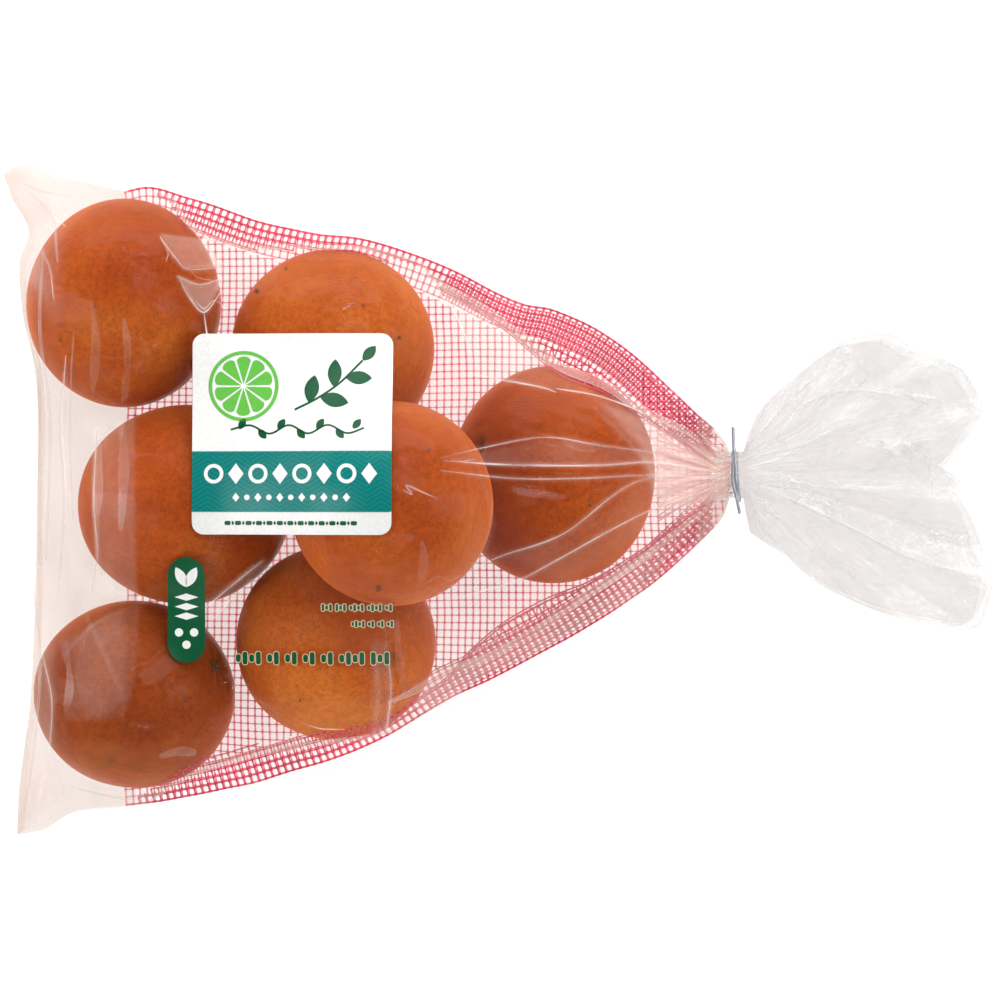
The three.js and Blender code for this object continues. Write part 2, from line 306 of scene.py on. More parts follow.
def distance_to_piece(x, y, start, run):
    """Distance from each place to one straight piece of a line, and the share of the piece up to there."""
    t = np.clip(((x - start[0]) * run[0] + (y - start[1]) * run[1]) / max(TINY, run @ run), 0, 1)
    return np.hypot(x - start[0] - t * run[0], y - start[1] - t * run[1]), t


def line_distance(points, x, y, steps=40):
    """Distance from each place to a smooth line through the points, and the share of the line up to there."""
    line = curve_through(points, steps)
    nearest, share = np.full(x.shape, np.inf), np.zeros(x.shape)
    for k, (a, b) in enumerate(zip(line, line[1:])):
        run = b - a
        gap, t = distance_to_piece(x, y, a, run)
        closer = gap < nearest
        nearest = np.where(closer, gap, nearest)
        share = np.where(closer, (k + t) / (steps - 1), share)
    return nearest, share


def area_depth(corners, x, y):
    """How far each place lies inside a closed area, negative outside."""
    corners = np.array(corners)
    nearest, inside = np.full(x.shape, np.inf), np.zeros(x.shape, bool)
    for a, b in zip(corners, np.roll(corners, -1, axis=0)):
        run = b - a
        nearest = np.minimum(nearest, distance_to_piece(x, y, a, run)[0])
        crosses = (a[1] > y) != (b[1] > y)
        slope = run[0] / (run[1] if abs(run[1]) > TINY else TINY)
        inside ^= crosses & (x < a[0] + (y - a[1]) * slope)
    return np.where(inside, nearest, -nearest)


def noise(x, y, scale, seed):
    """Smooth random heights between -1 and 1, about one bump for each scale millimetres."""
    lattice = np.random.default_rng(seed).uniform(-1, 1, (NOISE_CELLS, NOISE_CELLS))
    gx, gy = np.asarray(x, float) / scale + 500.3, np.asarray(y, float) / scale + 500.7
    a, b = np.floor(gx).astype(int), np.floor(gy).astype(int)
    s, t = smooth_step(gx - a), smooth_step(gy - b)
    corner = [[lattice[(a + i) % NOISE_CELLS, (b + j) % NOISE_CELLS] for j in (0, 1)] for i in (0, 1)]
    low = corner[0][0] * (1 - s) + corner[1][0] * s
    return low * (1 - t) + (corner[0][1] * (1 - s) + corner[1][1] * s) * t


def sharp_folds(x, y, scale, seed):
    """Creased heights from 0 to 1: flat facets that meet in sharp ridges, as in crumpled film."""
    first = 1 - np.abs(noise(x, y, scale, seed)) * 2
    second = 1 - np.abs(noise(x + 0.6 * y, y - 0.5 * x, scale * 0.8, seed + 1)) * 2
    return np.clip(np.maximum(first, second), 0, 1)


print("label's middle:", from_photo([(291.5, 433)]).round(1))

# %% [markdown]
# ## Folds of the film
#
# Polyethylene film of this thickness, about 50 micrometres, doesn't stretch like rubber. Where the fruit pushes it
# about, it makes long straight folds between the points that pull on it, mostly the tied neck, and small facets
# where it is pushed together. Each fold is a smooth line with a height and a width, added to the draped surface.
# Where film is folded double or rubbed, it turns milky, so a fold also has a share of haze, which also stands for a
# painted highlight along its crest. Some milky areas are doubled film, others painted reflections of bent film.

# %% Lines and areas of folded film, in pixels of the photograph: points, height and half width in mm, haze, part of it painted highlight
FOLDS_AND_SHINES = [
    ([(443, 457), (480, 448), (545, 437), (600, 445), (650, 452), (700, 462)], 1.0, 2.4, 0.5),
    ([(443, 460), (500, 464), (600, 465), (650, 462), (720, 470)], 1.2, 2.6, 0.9),
    ([(440, 470), (515, 478), (580, 478), (640, 475), (720, 476)], 0.9, 2.6, 0.6),
    ([(478, 566), (500, 556), (560, 535), (640, 480), (725, 478)], 1.1, 3.0, 0.7),
    ([(440, 602), (491, 588), (520, 579), (556, 560), (610, 530), (650, 510), (725, 484)], 1.1, 2.6, 0.7),
    ([(388, 703), (440, 672), (480, 658), (560, 612), (640, 560), (727, 494)], 1.2, 2.8, 0.6),
    ([(468, 373), (500, 379), (546, 388), (556, 392)], 1.0, 2.6, 0.9),
    ([(556, 388), (600, 396), (660, 420), (720, 452)], 1.1, 3.0, 0.6),
    ([(432, 286), (450, 305), (463, 330), (470, 352)], 1.0, 2.4, 0.5),
    ([(585, 398), (612, 425), (640, 455), (660, 480)], 0.9, 3.0, 0.4),
    ([(205, 608), (232, 585), (263, 560)], 0.8, 2.0, 0.7),
    ([(214, 618), (240, 590), (272, 566)], 0.7, 2.0, 0.5),
    ([(388, 655), (391, 690), (386, 733)], 1.2, 2.0, 0.9),
    ([(372, 640), (378, 690), (374, 735)], 0.8, 2.2, 0.4),
    ([(160, 236), (176, 258), (186, 268), (214, 268)], 1.3, 2.6, 0.7),
    ([(178, 275), (190, 298), (204, 312), (222, 290)], 1.3, 2.6, 0.8),
    ([(176, 276), (200, 284), (222, 278)], 1.0, 2.2, 0.6),
    ([(204, 312), (208, 340), (214, 372)], 0.8, 2.0, 0.7),
    ([(66, 355), (62, 420), (66, 500), (60, 560)], 1.0, 2.4, 0.7),
    ([(97, 430), (94, 500), (98, 560), (93, 590)], 0.9, 2.4, 0.5),
    ([(70, 585), (98, 640), (126, 700)], 0.7, 2.2, 0.4),
    ([(60, 660), (92, 626), (128, 606)], 0.7, 2.0, 0.4),
    ([(40, 640), (52, 700), (48, 760), (36, 810)], 1.0, 2.6, 0.6),
    ([(36, 196), (52, 215), (66, 226)], 1.0, 2.4, 0.5),
    ([(28, 236), (48, 262), (54, 300)], 0.8, 2.4, 0.5),
    ([(330, 238), (360, 250), (396, 262), (425, 290)], 0.7, 2.2, 0.4),
    ([(235, 300), (246, 276), (262, 258)], 0.6, 2.0, 0.3),
    ([(478, 470), (492, 510), (486, 545), (460, 580)], 0.6, 2.6, 0.3),
]
# Milky areas: doubled and flapped film, and painted reflections where bent and crumpled film catches the light.
# Points, haze, width of the soft edge in mm.
MILK_AND_SHINE_PATCHES = [
    ([(425, 268), (444, 296), (462, 330), (470, 372), (545, 390), (600, 392), (560, 366), (500, 325)], 0.14, 2.0),
    ([(590, 396), (636, 446), (652, 500), (690, 505), (733, 492), (730, 458), (690, 440), (640, 412)], 0.40, 3.0),
    ([(445, 458), (545, 438), (640, 447), (650, 462), (600, 466), (500, 465)], 0.12, 1.0),
    ([(500, 556), (560, 535), (640, 482), (730, 476), (728, 498), (650, 530), (560, 585)], 0.10, 3.0),
    ([(395, 700), (440, 676), (520, 640), (610, 590), (700, 520), (640, 600), (540, 655), (430, 716)], 0.12, 3.0),
    ([(158, 232), (205, 238), (224, 268), (186, 268)], 0.36, 0.7),
    ([(178, 274), (200, 284), (224, 278), (206, 314), (190, 300)], 0.46, 0.6),
    ([(58, 640), (125, 608), (130, 700), (92, 722)], 0.12, 3.0),
    ([(372, 640), (392, 640), (394, 735), (370, 735)], 0.14, 2.0),
    ([(24, 560), (50, 560), (58, 700), (56, 800), (10, 840)], 0.22, 4.0),
    ([(0, 155), (70, 180), (44, 240), (50, 300), (20, 280), (0, 220)], 0.4, 4.0),
    ([(40, 395), (66, 380), (70, 590), (38, 600)], 0.16, 4.0),
    ([(205, 600), (263, 556), (276, 566), (216, 622)], 0.14, 2.0),
    ([(90, 425), (136, 420), (138, 600), (96, 592)], 0.2, 1.5),
    ([(84, 626), (141, 600), (136, 680), (124, 718), (62, 722)], 0.08, 1.0),
    ([(640, 440), (740, 458), (740, 494), (660, 524), (655, 485)], 0.26, 5.0),
    ([(0, 760), (70, 756), (150, 798), (90, 812), (0, 850)], 0.16, 5.0),
    ([(40, 200), (70, 220), (60, 330), (28, 300)], 0.14, 5.0),
]
# Haze of film that hangs free of the peel; it also paints light into the shaded gaps between the fruit.
HANGING_HAZE_AND_GAP_LIGHT = 0.14
GATHER_REACH = 95.0  # how far from the neck the film is pleated by the wire
PULL_REACH = 190.0  # how far from the neck it is still pulled into shallow folds
PEEL_CLEARANCE = 0.25
MOST_HAZE = 0.75
FOLD_AND_SHINE_LINES = [(from_photo(points), height, width, haze_and_shine) for points, height, width, haze_and_shine in FOLDS_AND_SHINES]
MILK_AND_SHINE_AREAS = [(from_photo(points), haze_and_shine, edge) for points, haze_and_shine, edge in MILK_AND_SHINE_PATCHES]


def fold_ends(share):
    """Height of a fold along its line, from 0 to 1, low at both ends."""
    return np.sin(np.pi * np.clip(share, 0.04, 0.96)) ** 0.6


def film_height(x, y):
    """Height of the front film over each place: the drape with its folds, never inside the fruit."""
    x, y = np.asarray(x, float), np.asarray(y, float)
    z = look_up(over_map, x, y)
    dx, dy = NECK_LEFT - x, y - NECK_Y
    reach, bearing = np.hypot(dx, dy), np.arctan2(dy, np.maximum(dx, 1e-3))
    gathered = smooth_step(1 - reach / GATHER_REACH) * smooth_step(dx, 0, 14)
    z = z + gathered * (0.9 * np.sin(22 * bearing + 2 * noise(x, y, 40, 3)) + 0.5 * np.sin(41 * bearing + 1.3))
    pulled = sharp_folds(bearing * 70, reach / 9, 9, 11)
    z = z + 0.5 * pulled * smooth_step(1 - reach / PULL_REACH) * smooth_step(dx, 0, 20)
    loose = smooth_step(-x, 122, 140)
    z = z + loose * 0.9 * sharp_folds(x, y / 5, 11, 21) + 0.35 * sharp_folds(x, y, 26, 31)
    for line, height, width, _ in FOLD_AND_SHINE_LINES:
        gap, share = line_distance(line, x, y)
        z = z + height * np.clip(1 - gap / (0.7 * width), 0, 1) ** 1.4 * fold_ends(share)
    return np.maximum(z, fruit_surface(x, y, 1, PEEL_CLEARANCE))


def film_haze_and_shine(x, y):
    """Share of light that the film scatters at each place, with painted highlights on folds and painted reflections
    of bent film. Where it clings to damp peel it is clear.
    """
    free = np.full(x.shape, np.inf)
    for o in FRUIT:
        free = np.minimum(free, np.hypot((x - o["x"]) / o["rx"], (y - o["y"]) / o["ry"]))
    free = smooth_step(free, 0.97, 1.02)
    # Film that hangs free is milky, and this also paints light into the shaded gaps between the fruit.
    haze_and_shine = HANGING_HAZE_AND_GAP_LIGHT * free
    # Milky areas: doubled film, and painted reflections of bent film.
    for corners, amount, edge in MILK_AND_SHINE_AREAS:
        haze_and_shine = haze_and_shine + amount * (0.45 + 0.55 * free) * smooth_step(area_depth(corners, x, y), -edge * 0.4, edge)
    # A painted highlight along each fold's crest, partly the milk of creased film.
    for line, _, width, amount in FOLD_AND_SHINE_LINES:
        gap, share = line_distance(line, x, y)
        haze_and_shine = haze_and_shine + 0.22 * amount * np.exp(-((gap / (0.3 * width)) ** 2)) * np.sin(np.pi * share) ** 0.5
    haze_and_shine = haze_and_shine + 0.06 * free * noise(x, y, 9, 41)
    return np.clip(haze_and_shine, 0, MOST_HAZE)


print(len(FOLD_AND_SHINE_LINES), "folds and", len(MILK_AND_SHINE_AREAS), "veils")

# %% [markdown]
# ## Making meshes
#
# Film and net are grids and strands that no primitive resembles, so their meshes are written point by point. Every
# piece keeps its object at the origin and its place in its points. A float attribute on the points carries what
# changes over a surface, here the haze of the film, with its painted highlights, and the darker knots of the net, for
# the materials to read.

# %% Helpers for meshes
def new_piece(name, points, faces, values=None, attribute="haze_and_shine", smooth=True):
    """An object from points in millimetres, with an optional value on each point."""
    mesh = bpy.data.meshes.new(name)
    mesh.from_pydata((np.asarray(points, float) * MM).tolist(), [], np.asarray(faces).tolist())
    if values is not None:
        layer = mesh.attributes.new(attribute, "FLOAT", "POINT")
        layer.data.foreach_set("value", np.asarray(values, np.float32).ravel())
    mesh.update()
    if smooth:
        mesh.shade_smooth()
    piece = bpy.data.objects.new(name, mesh)
    bpy.context.collection.objects.link(piece)
    return piece


def face_up(points):
    """True where a grid's faces, as grid_faces makes them, point upwards."""
    a, b = points[1, 0] - points[0, 0], points[0, 1] - points[0, 0]
    return np.cross(a[:2], b[:2]) > 0


def sheet_piece(name, grid, values=None):
    """A thin sheet from a grid of points, columns by rows by 3, facing up."""
    columns, rows = grid.shape[:2]
    faces = grid_faces(columns, rows)
    if not face_up(grid):
        faces = faces[:, ::-1]
    return new_piece(name, grid.reshape(-1, 3), faces, values)


pieces = {}

# %% [markdown]
# ## The front film
#
# The film is welded to the net along two lines that show on the front, so its edges are drawn where the photograph
# has them: on the far side always inside the outline, and on the near side only as far as the third orange, after
# which it wraps round the edge. Between its four edges the film is one grid, fine enough for the narrow folds.

# %% Front film
FILM_FAR_EDGE = [
    (120, 190), (148, 190), (166, 195), (177, 205), (185, 219), (204, 235), (254, 246), (288, 246), (340, 247),
    (369, 248), (420, 262), (440, 283), (470, 299), (500, 321), (530, 342), (560, 366), (606, 385), (638, 407),
    (663, 420), (698, 436), (722, 450),
]
FILM_NEAR_EDGE = [
    (120, 807), (150, 801), (175, 783), (200, 771), (235, 760), (271, 751), (325, 742), (364, 737), (392, 731),
    (420, 716), (450, 699), (489, 673), (520, 661), (573, 632), (644, 590), (685, 556), (722, 518),
]
FILM_GRID = (340, 280)
FILM_PLEATS = 13  # where the film enters the neck


def with_height(points):
    return [(x, y, 0.0) for x, y in points]


far_start = [(x, y, 0.0) for x, y, _ in FAR_SIDE[:5]]
near_start = [(x, y, 0.0) for x, y, _ in NEAR_SIDE[:3]]
neck_corner = {side: (NECK_LEFT, NECK_Y + side * NECK_HALF_WIDTH, 0.0) for side in (1, -1)}
film_far = far_start + with_height(from_photo(FILM_FAR_EDGE)) + [neck_corner[1]]
film_near = near_start + with_height(from_photo(FILM_NEAR_EDGE)) + [neck_corner[-1]]
film_plan = body_plan(*FILM_GRID, far=film_far, near=film_near)
film_x, film_y = film_plan[..., 0], film_plan[..., 1]
film_z = film_height(film_x, film_y)
film_across = np.linspace(0, 1, FILM_GRID[1])
into_neck = smooth_step(film_x, NECK_LEFT - 5, NECK_LEFT)
neck_top = NECK_Z + neck_section(film_across)[1] + 0.5 * np.sin(2 * np.pi * FILM_PLEATS * film_across)
film_z = film_z * (1 - into_neck) + neck_top[None] * into_neck
pieces["front_film"] = sheet_piece("front_film", np.dstack([film_x, film_y, film_z]), film_haze_and_shine(film_x, film_y))
print("front film:", film_x.size, "points, top at", round(float(film_z.max()), 1), "mm")

# %% [markdown]
# ## The oranges
#
# A navel orange isn't a ball: it is a little flat in places, sinks in round the stem and has a small second fruit at
# the other end that shows as a puckered ring. Each starts as a sphere primitive with its pole at the stem. The
# points near the poles are moved in and out, soft random dents follow, and then the fruit is turned so that its stem
# points where the real one does and is stretched to its three half widths. Dents only go inwards, so the film still
# clears the peel. The pores are far too small to model and are left to the peel's material.

# %% Seven oranges
STEM_TOWARDS = [
    (-0.75, 0.55, -0.3), (0.35, 0.85, -0.35), (-0.6, -0.3, -0.74), (0.5, -0.62, -0.6),
    (0.74, -0.25, -0.62), (0.853, 0.31, 0.42), (-0.55, 0.15, -0.82),
]
RINGS, SEGMENTS = 90, 128


def turn_to(direction):
    """Rotation that takes +Z to a direction, as a 3 by 3 array."""
    return np.array(Vector((0, 0, 1)).rotation_difference(Vector(direction)).to_matrix())


def dents(p, seed, count=14):
    """Soft dents of a fruit, 0 to 1, over directions p."""
    draw = np.random.default_rng(seed)
    waves = sum(
        draw.uniform(0.5, 1) * np.sin(p @ (draw.normal(size=3) * 2.4) + draw.uniform(0, 6.3)) for _ in range(count)
    )
    return (waves - waves.min()) / (waves.max() - waves.min())


def orange_piece(number, o):
    bpy.ops.object.select_all(action="DESELECT")
    bpy.ops.mesh.primitive_uv_sphere_add(segments=SEGMENTS, ring_count=RINGS, radius=1)
    piece = bpy.context.object
    piece.name = piece.data.name = f"orange_{number}"
    points = np.empty(len(piece.data.vertices) * 3)
    piece.data.vertices.foreach_get("co", points)
    p = points.reshape(-1, 3)
    stem_angle, navel_angle = np.arccos(np.clip(p[:, 2], -1, 1)), np.arccos(np.clip(-p[:, 2], -1, 1))
    ribs = np.cos(7 * np.arctan2(p[:, 1], p[:, 0]) + number)
    out = 1 - 0.022 * dents(p, 50 + number)
    out -= (0.045 + 0.006 * ribs) * np.exp(-((stem_angle / 0.26) ** 2))
    out -= 0.075 * np.exp(-((navel_angle / 0.09) ** 2)) + 0.012 * np.exp(-(((navel_angle - 0.2) / 0.05) ** 2))
    shape = (p * out[:, None]) @ turn_to(STEM_TOWARDS[number - 1]).T
    centre, half = np.array([o["x"], o["y"], o["z"]]), np.array([o["rx"], o["ry"], o["rz"]])
    piece.data.vertices.foreach_set("co", ((shape * half + centre) * MM).ravel())
    near_end = piece.data.attributes.new("end", "FLOAT", "POINT")
    ends = np.exp(-((stem_angle / 0.16) ** 2)) + np.exp(-((navel_angle / 0.13) ** 2))
    near_end.data.foreach_set("value", ends.astype(np.float32))
    bpy.ops.object.shade_smooth()
    return piece


for number, o in enumerate(FRUIT, 1):
    pieces[f"orange_{number}"] = orange_piece(number, o)
print("oranges of", len(pieces["orange_1"].data.polygons), "faces each")

# %% [markdown]
# ## Stem buttons and specks
#
# The button is what is left of the flower's calyx: a dry five-pointed disc in the stem's hollow. It is one filled
# circle, its rim pulled out and in by turns, thickened by extruding, and copied for every fruit. The specks are the
# small dark marks that peel picks up in the grove. They are tiny flat discs pressed on the fruit where the
# photograph shows them.

# %% Stem buttons
def button_piece(name, o, towards, radius=2.6):
    bpy.ops.object.select_all(action="DESELECT")
    bpy.ops.mesh.primitive_circle_add(vertices=30, radius=radius * MM, fill_type="NGON")
    piece = bpy.context.object
    bpy.ops.object.mode_set(mode="EDIT")
    bpy.ops.mesh.select_all(action="SELECT")
    bpy.ops.mesh.inset(thickness=0.9 * MM)
    bpy.ops.mesh.inset(thickness=0.7 * MM)
    bpy.ops.mesh.extrude_region_move(TRANSFORM_OT_translate={"value": (0, 0, 0.7 * MM)})
    bpy.ops.object.mode_set(mode="OBJECT")
    turn = turn_to(towards)
    direction = np.array(towards) / np.linalg.norm(towards)
    half = np.array([o["rx"], o["ry"], o["rz"]])
    seat = np.array([o["x"], o["y"], o["z"]]) + direction * 0.952 * half
    for vertex in piece.data.vertices:
        p = np.array(vertex.co) / MM
        star = 1 + 0.24 * math.cos(5 * math.atan2(p[1], p[0])) * min(1, np.hypot(p[0], p[1]) / radius)
        vertex.co = ((p * (star, star, 1)) @ turn.T + seat) * MM
    piece.name = piece.data.name = name
    return piece


def join(name, parts):
    """Several pieces as one, at the origin."""
    bpy.ops.object.select_all(action="DESELECT")
    for part in parts:
        part.select_set(True)
    bpy.context.view_layer.objects.active = parts[0]
    bpy.ops.object.join()
    parts[0].name = parts[0].data.name = name
    return parts[0]


buttons = [button_piece(f"button_{k}", o, STEM_TOWARDS[k]) for k, o in enumerate(FRUIT)]
pieces["stem_buttons"] = join("stem_buttons", buttons)
print("buttons:", len(buttons))

# %% Specks on the peel, in pixels of the photograph with their radius in mm
SPECKS = [
    (256, 290, 0.9), (352, 303, 0.7), (363, 305, 0.6), (399, 337, 0.8), (378, 589, 0.9), (429, 449, 0.7),
    (286, 268, 0.5), (94, 306, 0.5), (60, 340, 0.5), (150, 735, 0.8), (88, 668, 0.6), (112, 760, 0.7),
    (186, 700, 0.6), (541, 424, 0.5), (590, 505, 0.6), (300, 700, 0.5),
]


def speck_points(px, py, radius, sides=9):
    (x, y), = from_photo([(px, py)])
    turn = np.linspace(0, 2 * np.pi, sides, endpoint=False)
    wobble = radius * (1 + 0.25 * np.sin(3 * turn + px))
    xs, ys = x + np.append(wobble * np.cos(turn), 0), y + np.append(wobble * np.sin(turn), 0)
    return np.stack([xs, ys, fruit_surface(xs, ys, 1, 0.05)], axis=1)


speck_grid = [speck_points(*speck) for speck in SPECKS]
speck_faces = [(10 * k + i, 10 * k + (i + 1) % 9, 10 * k + 9) for k in range(len(SPECKS)) for i in range(9)]
pieces["peel_specks"] = new_piece("peel_specks", np.vstack(speck_grid), speck_faces)
print("specks:", len(SPECKS))

# %% [markdown]
# ## The net
#
# The net is knitted from flat polyethylene tape, with a square mesh of 2.6 mm. It covers the back, comes round both
# long sides and is welded under the edge of the film. Seen from the front, it shows between the fruit through the
# film, and bare along the sides, where two layers lie on each other and their squares beat against each other. Each
# strand is a flat tube of four sides that follows the surface, a little wider and darker at each knot. Strands are
# real geometry and no picture, so light falls between them and the gaps are true gaps.

# %% Strands
PITCH = 2.6
TAPE = dict(along=0.48, across=0.68)  # width in mm of the strands that run along the bag and across it
SLACK_TAPE = dict(along=0.54, across=0.66)  # the same where nothing stretches the net
TAPE_THICKNESS = 0.26


def strand_mesh(paths, width):
    """Points, faces and knot values of flat strands.

    Each path is points and, for each of them, 1 at a knot and 0 between two knots.
    """
    points, faces, knots, first = [], [], [], 0
    for path, knot in paths:
        run = np.gradient(path, axis=0)
        run /= np.linalg.norm(run, axis=1)[:, None] + 1e-9
        side = np.cross(run, (0, 0, 1))
        side /= np.linalg.norm(side, axis=1)[:, None] + 1e-9
        up = np.cross(side, run)
        half = (width * (0.88 + 0.3 * knot) / 2)[:, None]
        thick = (TAPE_THICKNESS * (0.8 + 0.6 * knot) / 2)[:, None]
        ring = np.stack([path + side * half, path + up * thick, path - side * half, path - up * thick], axis=1)
        count = len(path)
        points.append(ring.reshape(-1, 3))
        knots.append(np.repeat(knot, 4))
        start = first + 4 * np.arange(count - 1)[:, None]
        corner = np.arange(4)[None]
        after = (corner + 1) % 4
        quads = np.stack([start + corner, start + after, start + 4 + after, start + 4 + corner], 2)
        faces.append(quads.reshape(-1, 4))
        last = first + 4 * (count - 1)
        faces.append(np.array([[first + 3, first + 2, first + 1, first], [last, last + 1, last + 2, last + 3]]))
        first += 4 * count
    return np.vstack(points), np.vstack(faces), np.concatenate(knots)


def strand_piece(name, families):
    """One piece from families of strands, each a list of paths and a width."""
    made = [strand_mesh(paths, width) for paths, width in families if paths]
    shift = np.cumsum([0] + [len(points) for points, _, _ in made[:-1]])
    points = np.vstack([points for points, _, _ in made])
    faces = np.vstack([faces + offset for (_, faces, _), offset in zip(made, shift)])
    return new_piece(name, points, faces, np.concatenate([k for _, _, k in made]), "knot", smooth=False)


def runs(inside, least=3):
    """Start and end of each stretch of True."""
    edges = np.flatnonzero(np.diff(np.concatenate([[0], inside.astype(int), [0]])))
    return [(a, b) for a, b in zip(edges[::2], edges[1::2]) if b - a >= least]


def drift(x, y):
    """The net is pulled a little out of square."""
    return x + 0.9 * noise(x, y, 38, 61) + 0.25 * noise(x, y, 9, 62), y + 0.9 * noise(x, y, 34, 63)


print("net pitch", PITCH, "mm")

# %% Net of the back
BACK_FILM_END = -132.0
UNDER_BAND = 12.0  # width of the band along each side whose strands follow the edge
GATHERED_FROM = NECK_LEFT - 32
HALF_SPAN = 120.0
coarse_outline = np.vstack([
    curve_through(NEAR_SIDE, 90)[:, :2],
    curve_through(FAR_SIDE, 90)[::-1, :2],
    curve_through(SEALED_END, 30)[::-1, :2],
])


def back_strands(lengthwise):
    """Strands along the bag or across it, inside the bands that follow its edge."""
    paths = []
    ends = [(BACK_FILM_END - 3, NECK_LEFT), (-HALF_SPAN, HALF_SPAN)]
    span_ends, lane_ends = ends if lengthwise else ends[::-1]
    span, lanes = np.arange(*span_ends, PITCH / 2), np.arange(*lane_ends, PITCH)
    knot = (np.arange(len(span)) % 2 == 0).astype(float)
    for lane in lanes:
        fixed = np.full(len(span), lane)
        x, y = drift(span, fixed) if lengthwise else drift(fixed, span)
        inside = area_depth(coarse_outline, x, y) > np.where(x > GATHERED_FROM, 0.4, UNDER_BAND - 0.6)
        z = np.maximum(look_up(under_map, x, y) + 0.25, 0.3) + (0.08 if lengthwise else -0.04)
        path = np.stack([x, y, z], axis=1)
        paths += [(path[a:b], knot[a:b]) for a, b in runs(inside)]
    return paths


back_families = [(back_strands(True), TAPE["along"]), (back_strands(False), TAPE["across"])]
print("back net:", [len(paths) for paths, _ in back_families], "strands")

# %% [markdown]
# Round the sides the net follows the edge of the bag instead of the table's axes, because the edge is what pulls on
# it. Its strands run along the outline and square to it, as far as a border that the photograph gives. Under the
# edge they go on as an even band, which meets the back. Towards the neck the net has too much width for the
# narrowing bag, so it lies in one more layer there.

# %% Net of the two sides
NET_START = -135.5
NET_END = 77.5
FAR_NET_BORDER = [
    (120, 190), (150, 192), (162, 198), (172, 208), (181, 223), (202, 239), (254, 250), (340, 251), (420, 267),
    (440, 289), (470, 306), (508, 332), (560, 374), (604, 392), (640, 416), (690, 446), (730, 462),
]
NEAR_NET_BORDER = [
    (120, 806), (158, 784), (180, 768), (206, 756), (271, 740), (330, 730), (372, 722), (412, 702), (446, 678),
    (470, 650), (501, 624), (542, 600), (593, 579), (640, 550), (700, 506), (730, 488),
]
FAR_FOLD_START, NEAR_FOLD_START = 452, 430  # where the further layer begins
NET_SINK = 0.25  # net below the surface of the film
EDGE_INSET = 0.35  # first strand from the edge
WIDEST_BAND = 60.0
ROUND_EDGE = 4.0  # width over which the net turns round the edge


def side_band(side, start_x, border=None, shift=(0.0, 0.0)):
    """Families of strands along the edge and square to it.

    On top they reach from the outline to a border. With no border they lie under the bag, in a band of even width.
    """
    under = border is None
    reach = UNDER_BAND + 4 if under else WIDEST_BAND
    edge = curve_through(side, 1200)[:, :2]
    edge = edge[edge[:, 0] > start_x]
    length = np.concatenate([[0], np.cumsum(np.linalg.norm(np.diff(edge, axis=0), axis=1))])
    inward = -1.0 if edge[:, 1].mean() > 0 else 1.0
    limit = None if under else from_photo(border)
    stations = np.arange(shift[0], length[-1] - 1, PITCH / 2)
    on_edge = np.stack([np.interp(stations, length, edge[:, k]) for k in (0, 1)], axis=1)
    run = np.gradient(on_edge, axis=0)
    run = np.stack([np.convolve(np.pad(run[:, k], 9, "edge"), np.ones(19) / 19, "valid") for k in (0, 1)], axis=1)
    run /= np.linalg.norm(run, axis=1)[:, None]
    square = np.stack([-run[:, 1], run[:, 0]], axis=1)
    square *= np.sign(square[:, 1:2]) * inward

    def strand(stations_at, square_at, depths, knot):
        x, y = (stations_at + square_at * depths[:, None]).T
        x, y = x + 0.3 * noise(x, y, 12, 71), y + 0.3 * noise(x, y, 12, 72)
        if under:
            beyond = area_depth(coarse_outline, x, y) - UNDER_BAND
            z = np.maximum(look_up(under_map, x, y) + 0.3, 0.35) + EDGE_HALF * smooth_step(depths, ROUND_EDGE, 0)
        else:
            beyond = inward * (y - np.interp(x, limit[:, 0], limit[:, 1]))
            z = look_up(over_map, x, y) - NET_SINK - EDGE_HALF * smooth_step(depths, ROUND_EDGE, 0)
        path = np.stack([x, y, z], axis=1)
        shown = (beyond < 0) & (x < NET_END + 0.8 * noise(x, y, 4, 73))
        return [(path[a:b], knot[a:b]) for a, b in runs(shown)]

    along, across = [], []
    lane_knot = (np.arange(len(stations)) % 2 == 0).astype(float)
    for depth in np.arange(EDGE_INSET + shift[1], reach, PITCH):
        along += strand(on_edge, square, np.full(len(stations), depth), lane_knot)
    depths = np.arange(EDGE_INSET + shift[1], reach, PITCH / 2)
    depth_knot = (np.arange(len(depths)) % 2 == 0).astype(float)
    for k in range(0, len(stations), 2):
        start, direction = (np.repeat(rows[k : k + 1], len(depths), axis=0) for rows in (on_edge, square))
        across += strand(start, direction, depths, depth_knot)
    tape = TAPE if under else SLACK_TAPE
    return [(along, tape["along"]), (across, tape["across"])]


def photo_x(pixel):
    return (pixel - PHOTO_CENTRE[0]) * PIXEL


SELVEDGE_GAP = 1.1


def selvedge(border, count=420):
    """Two close cords along the inner border of a net."""
    line = curve_through(from_photo(border), count)
    knot = (np.arange(count) % 2 == 0).astype(float)
    cords = []
    for shift in (0.0, -SELVEDGE_GAP):
        x, y = line[:, 0] + 0.2 * noise(*line.T, 6, 77), line[:, 1] + np.sign(line[:, 1].mean()) * -shift
        keep = x < NET_END
        cords.append((np.stack([x, y, look_up(over_map, x, y) - 0.3], axis=1)[keep], knot[keep]))
    return [(cords, SLACK_TAPE["along"])]


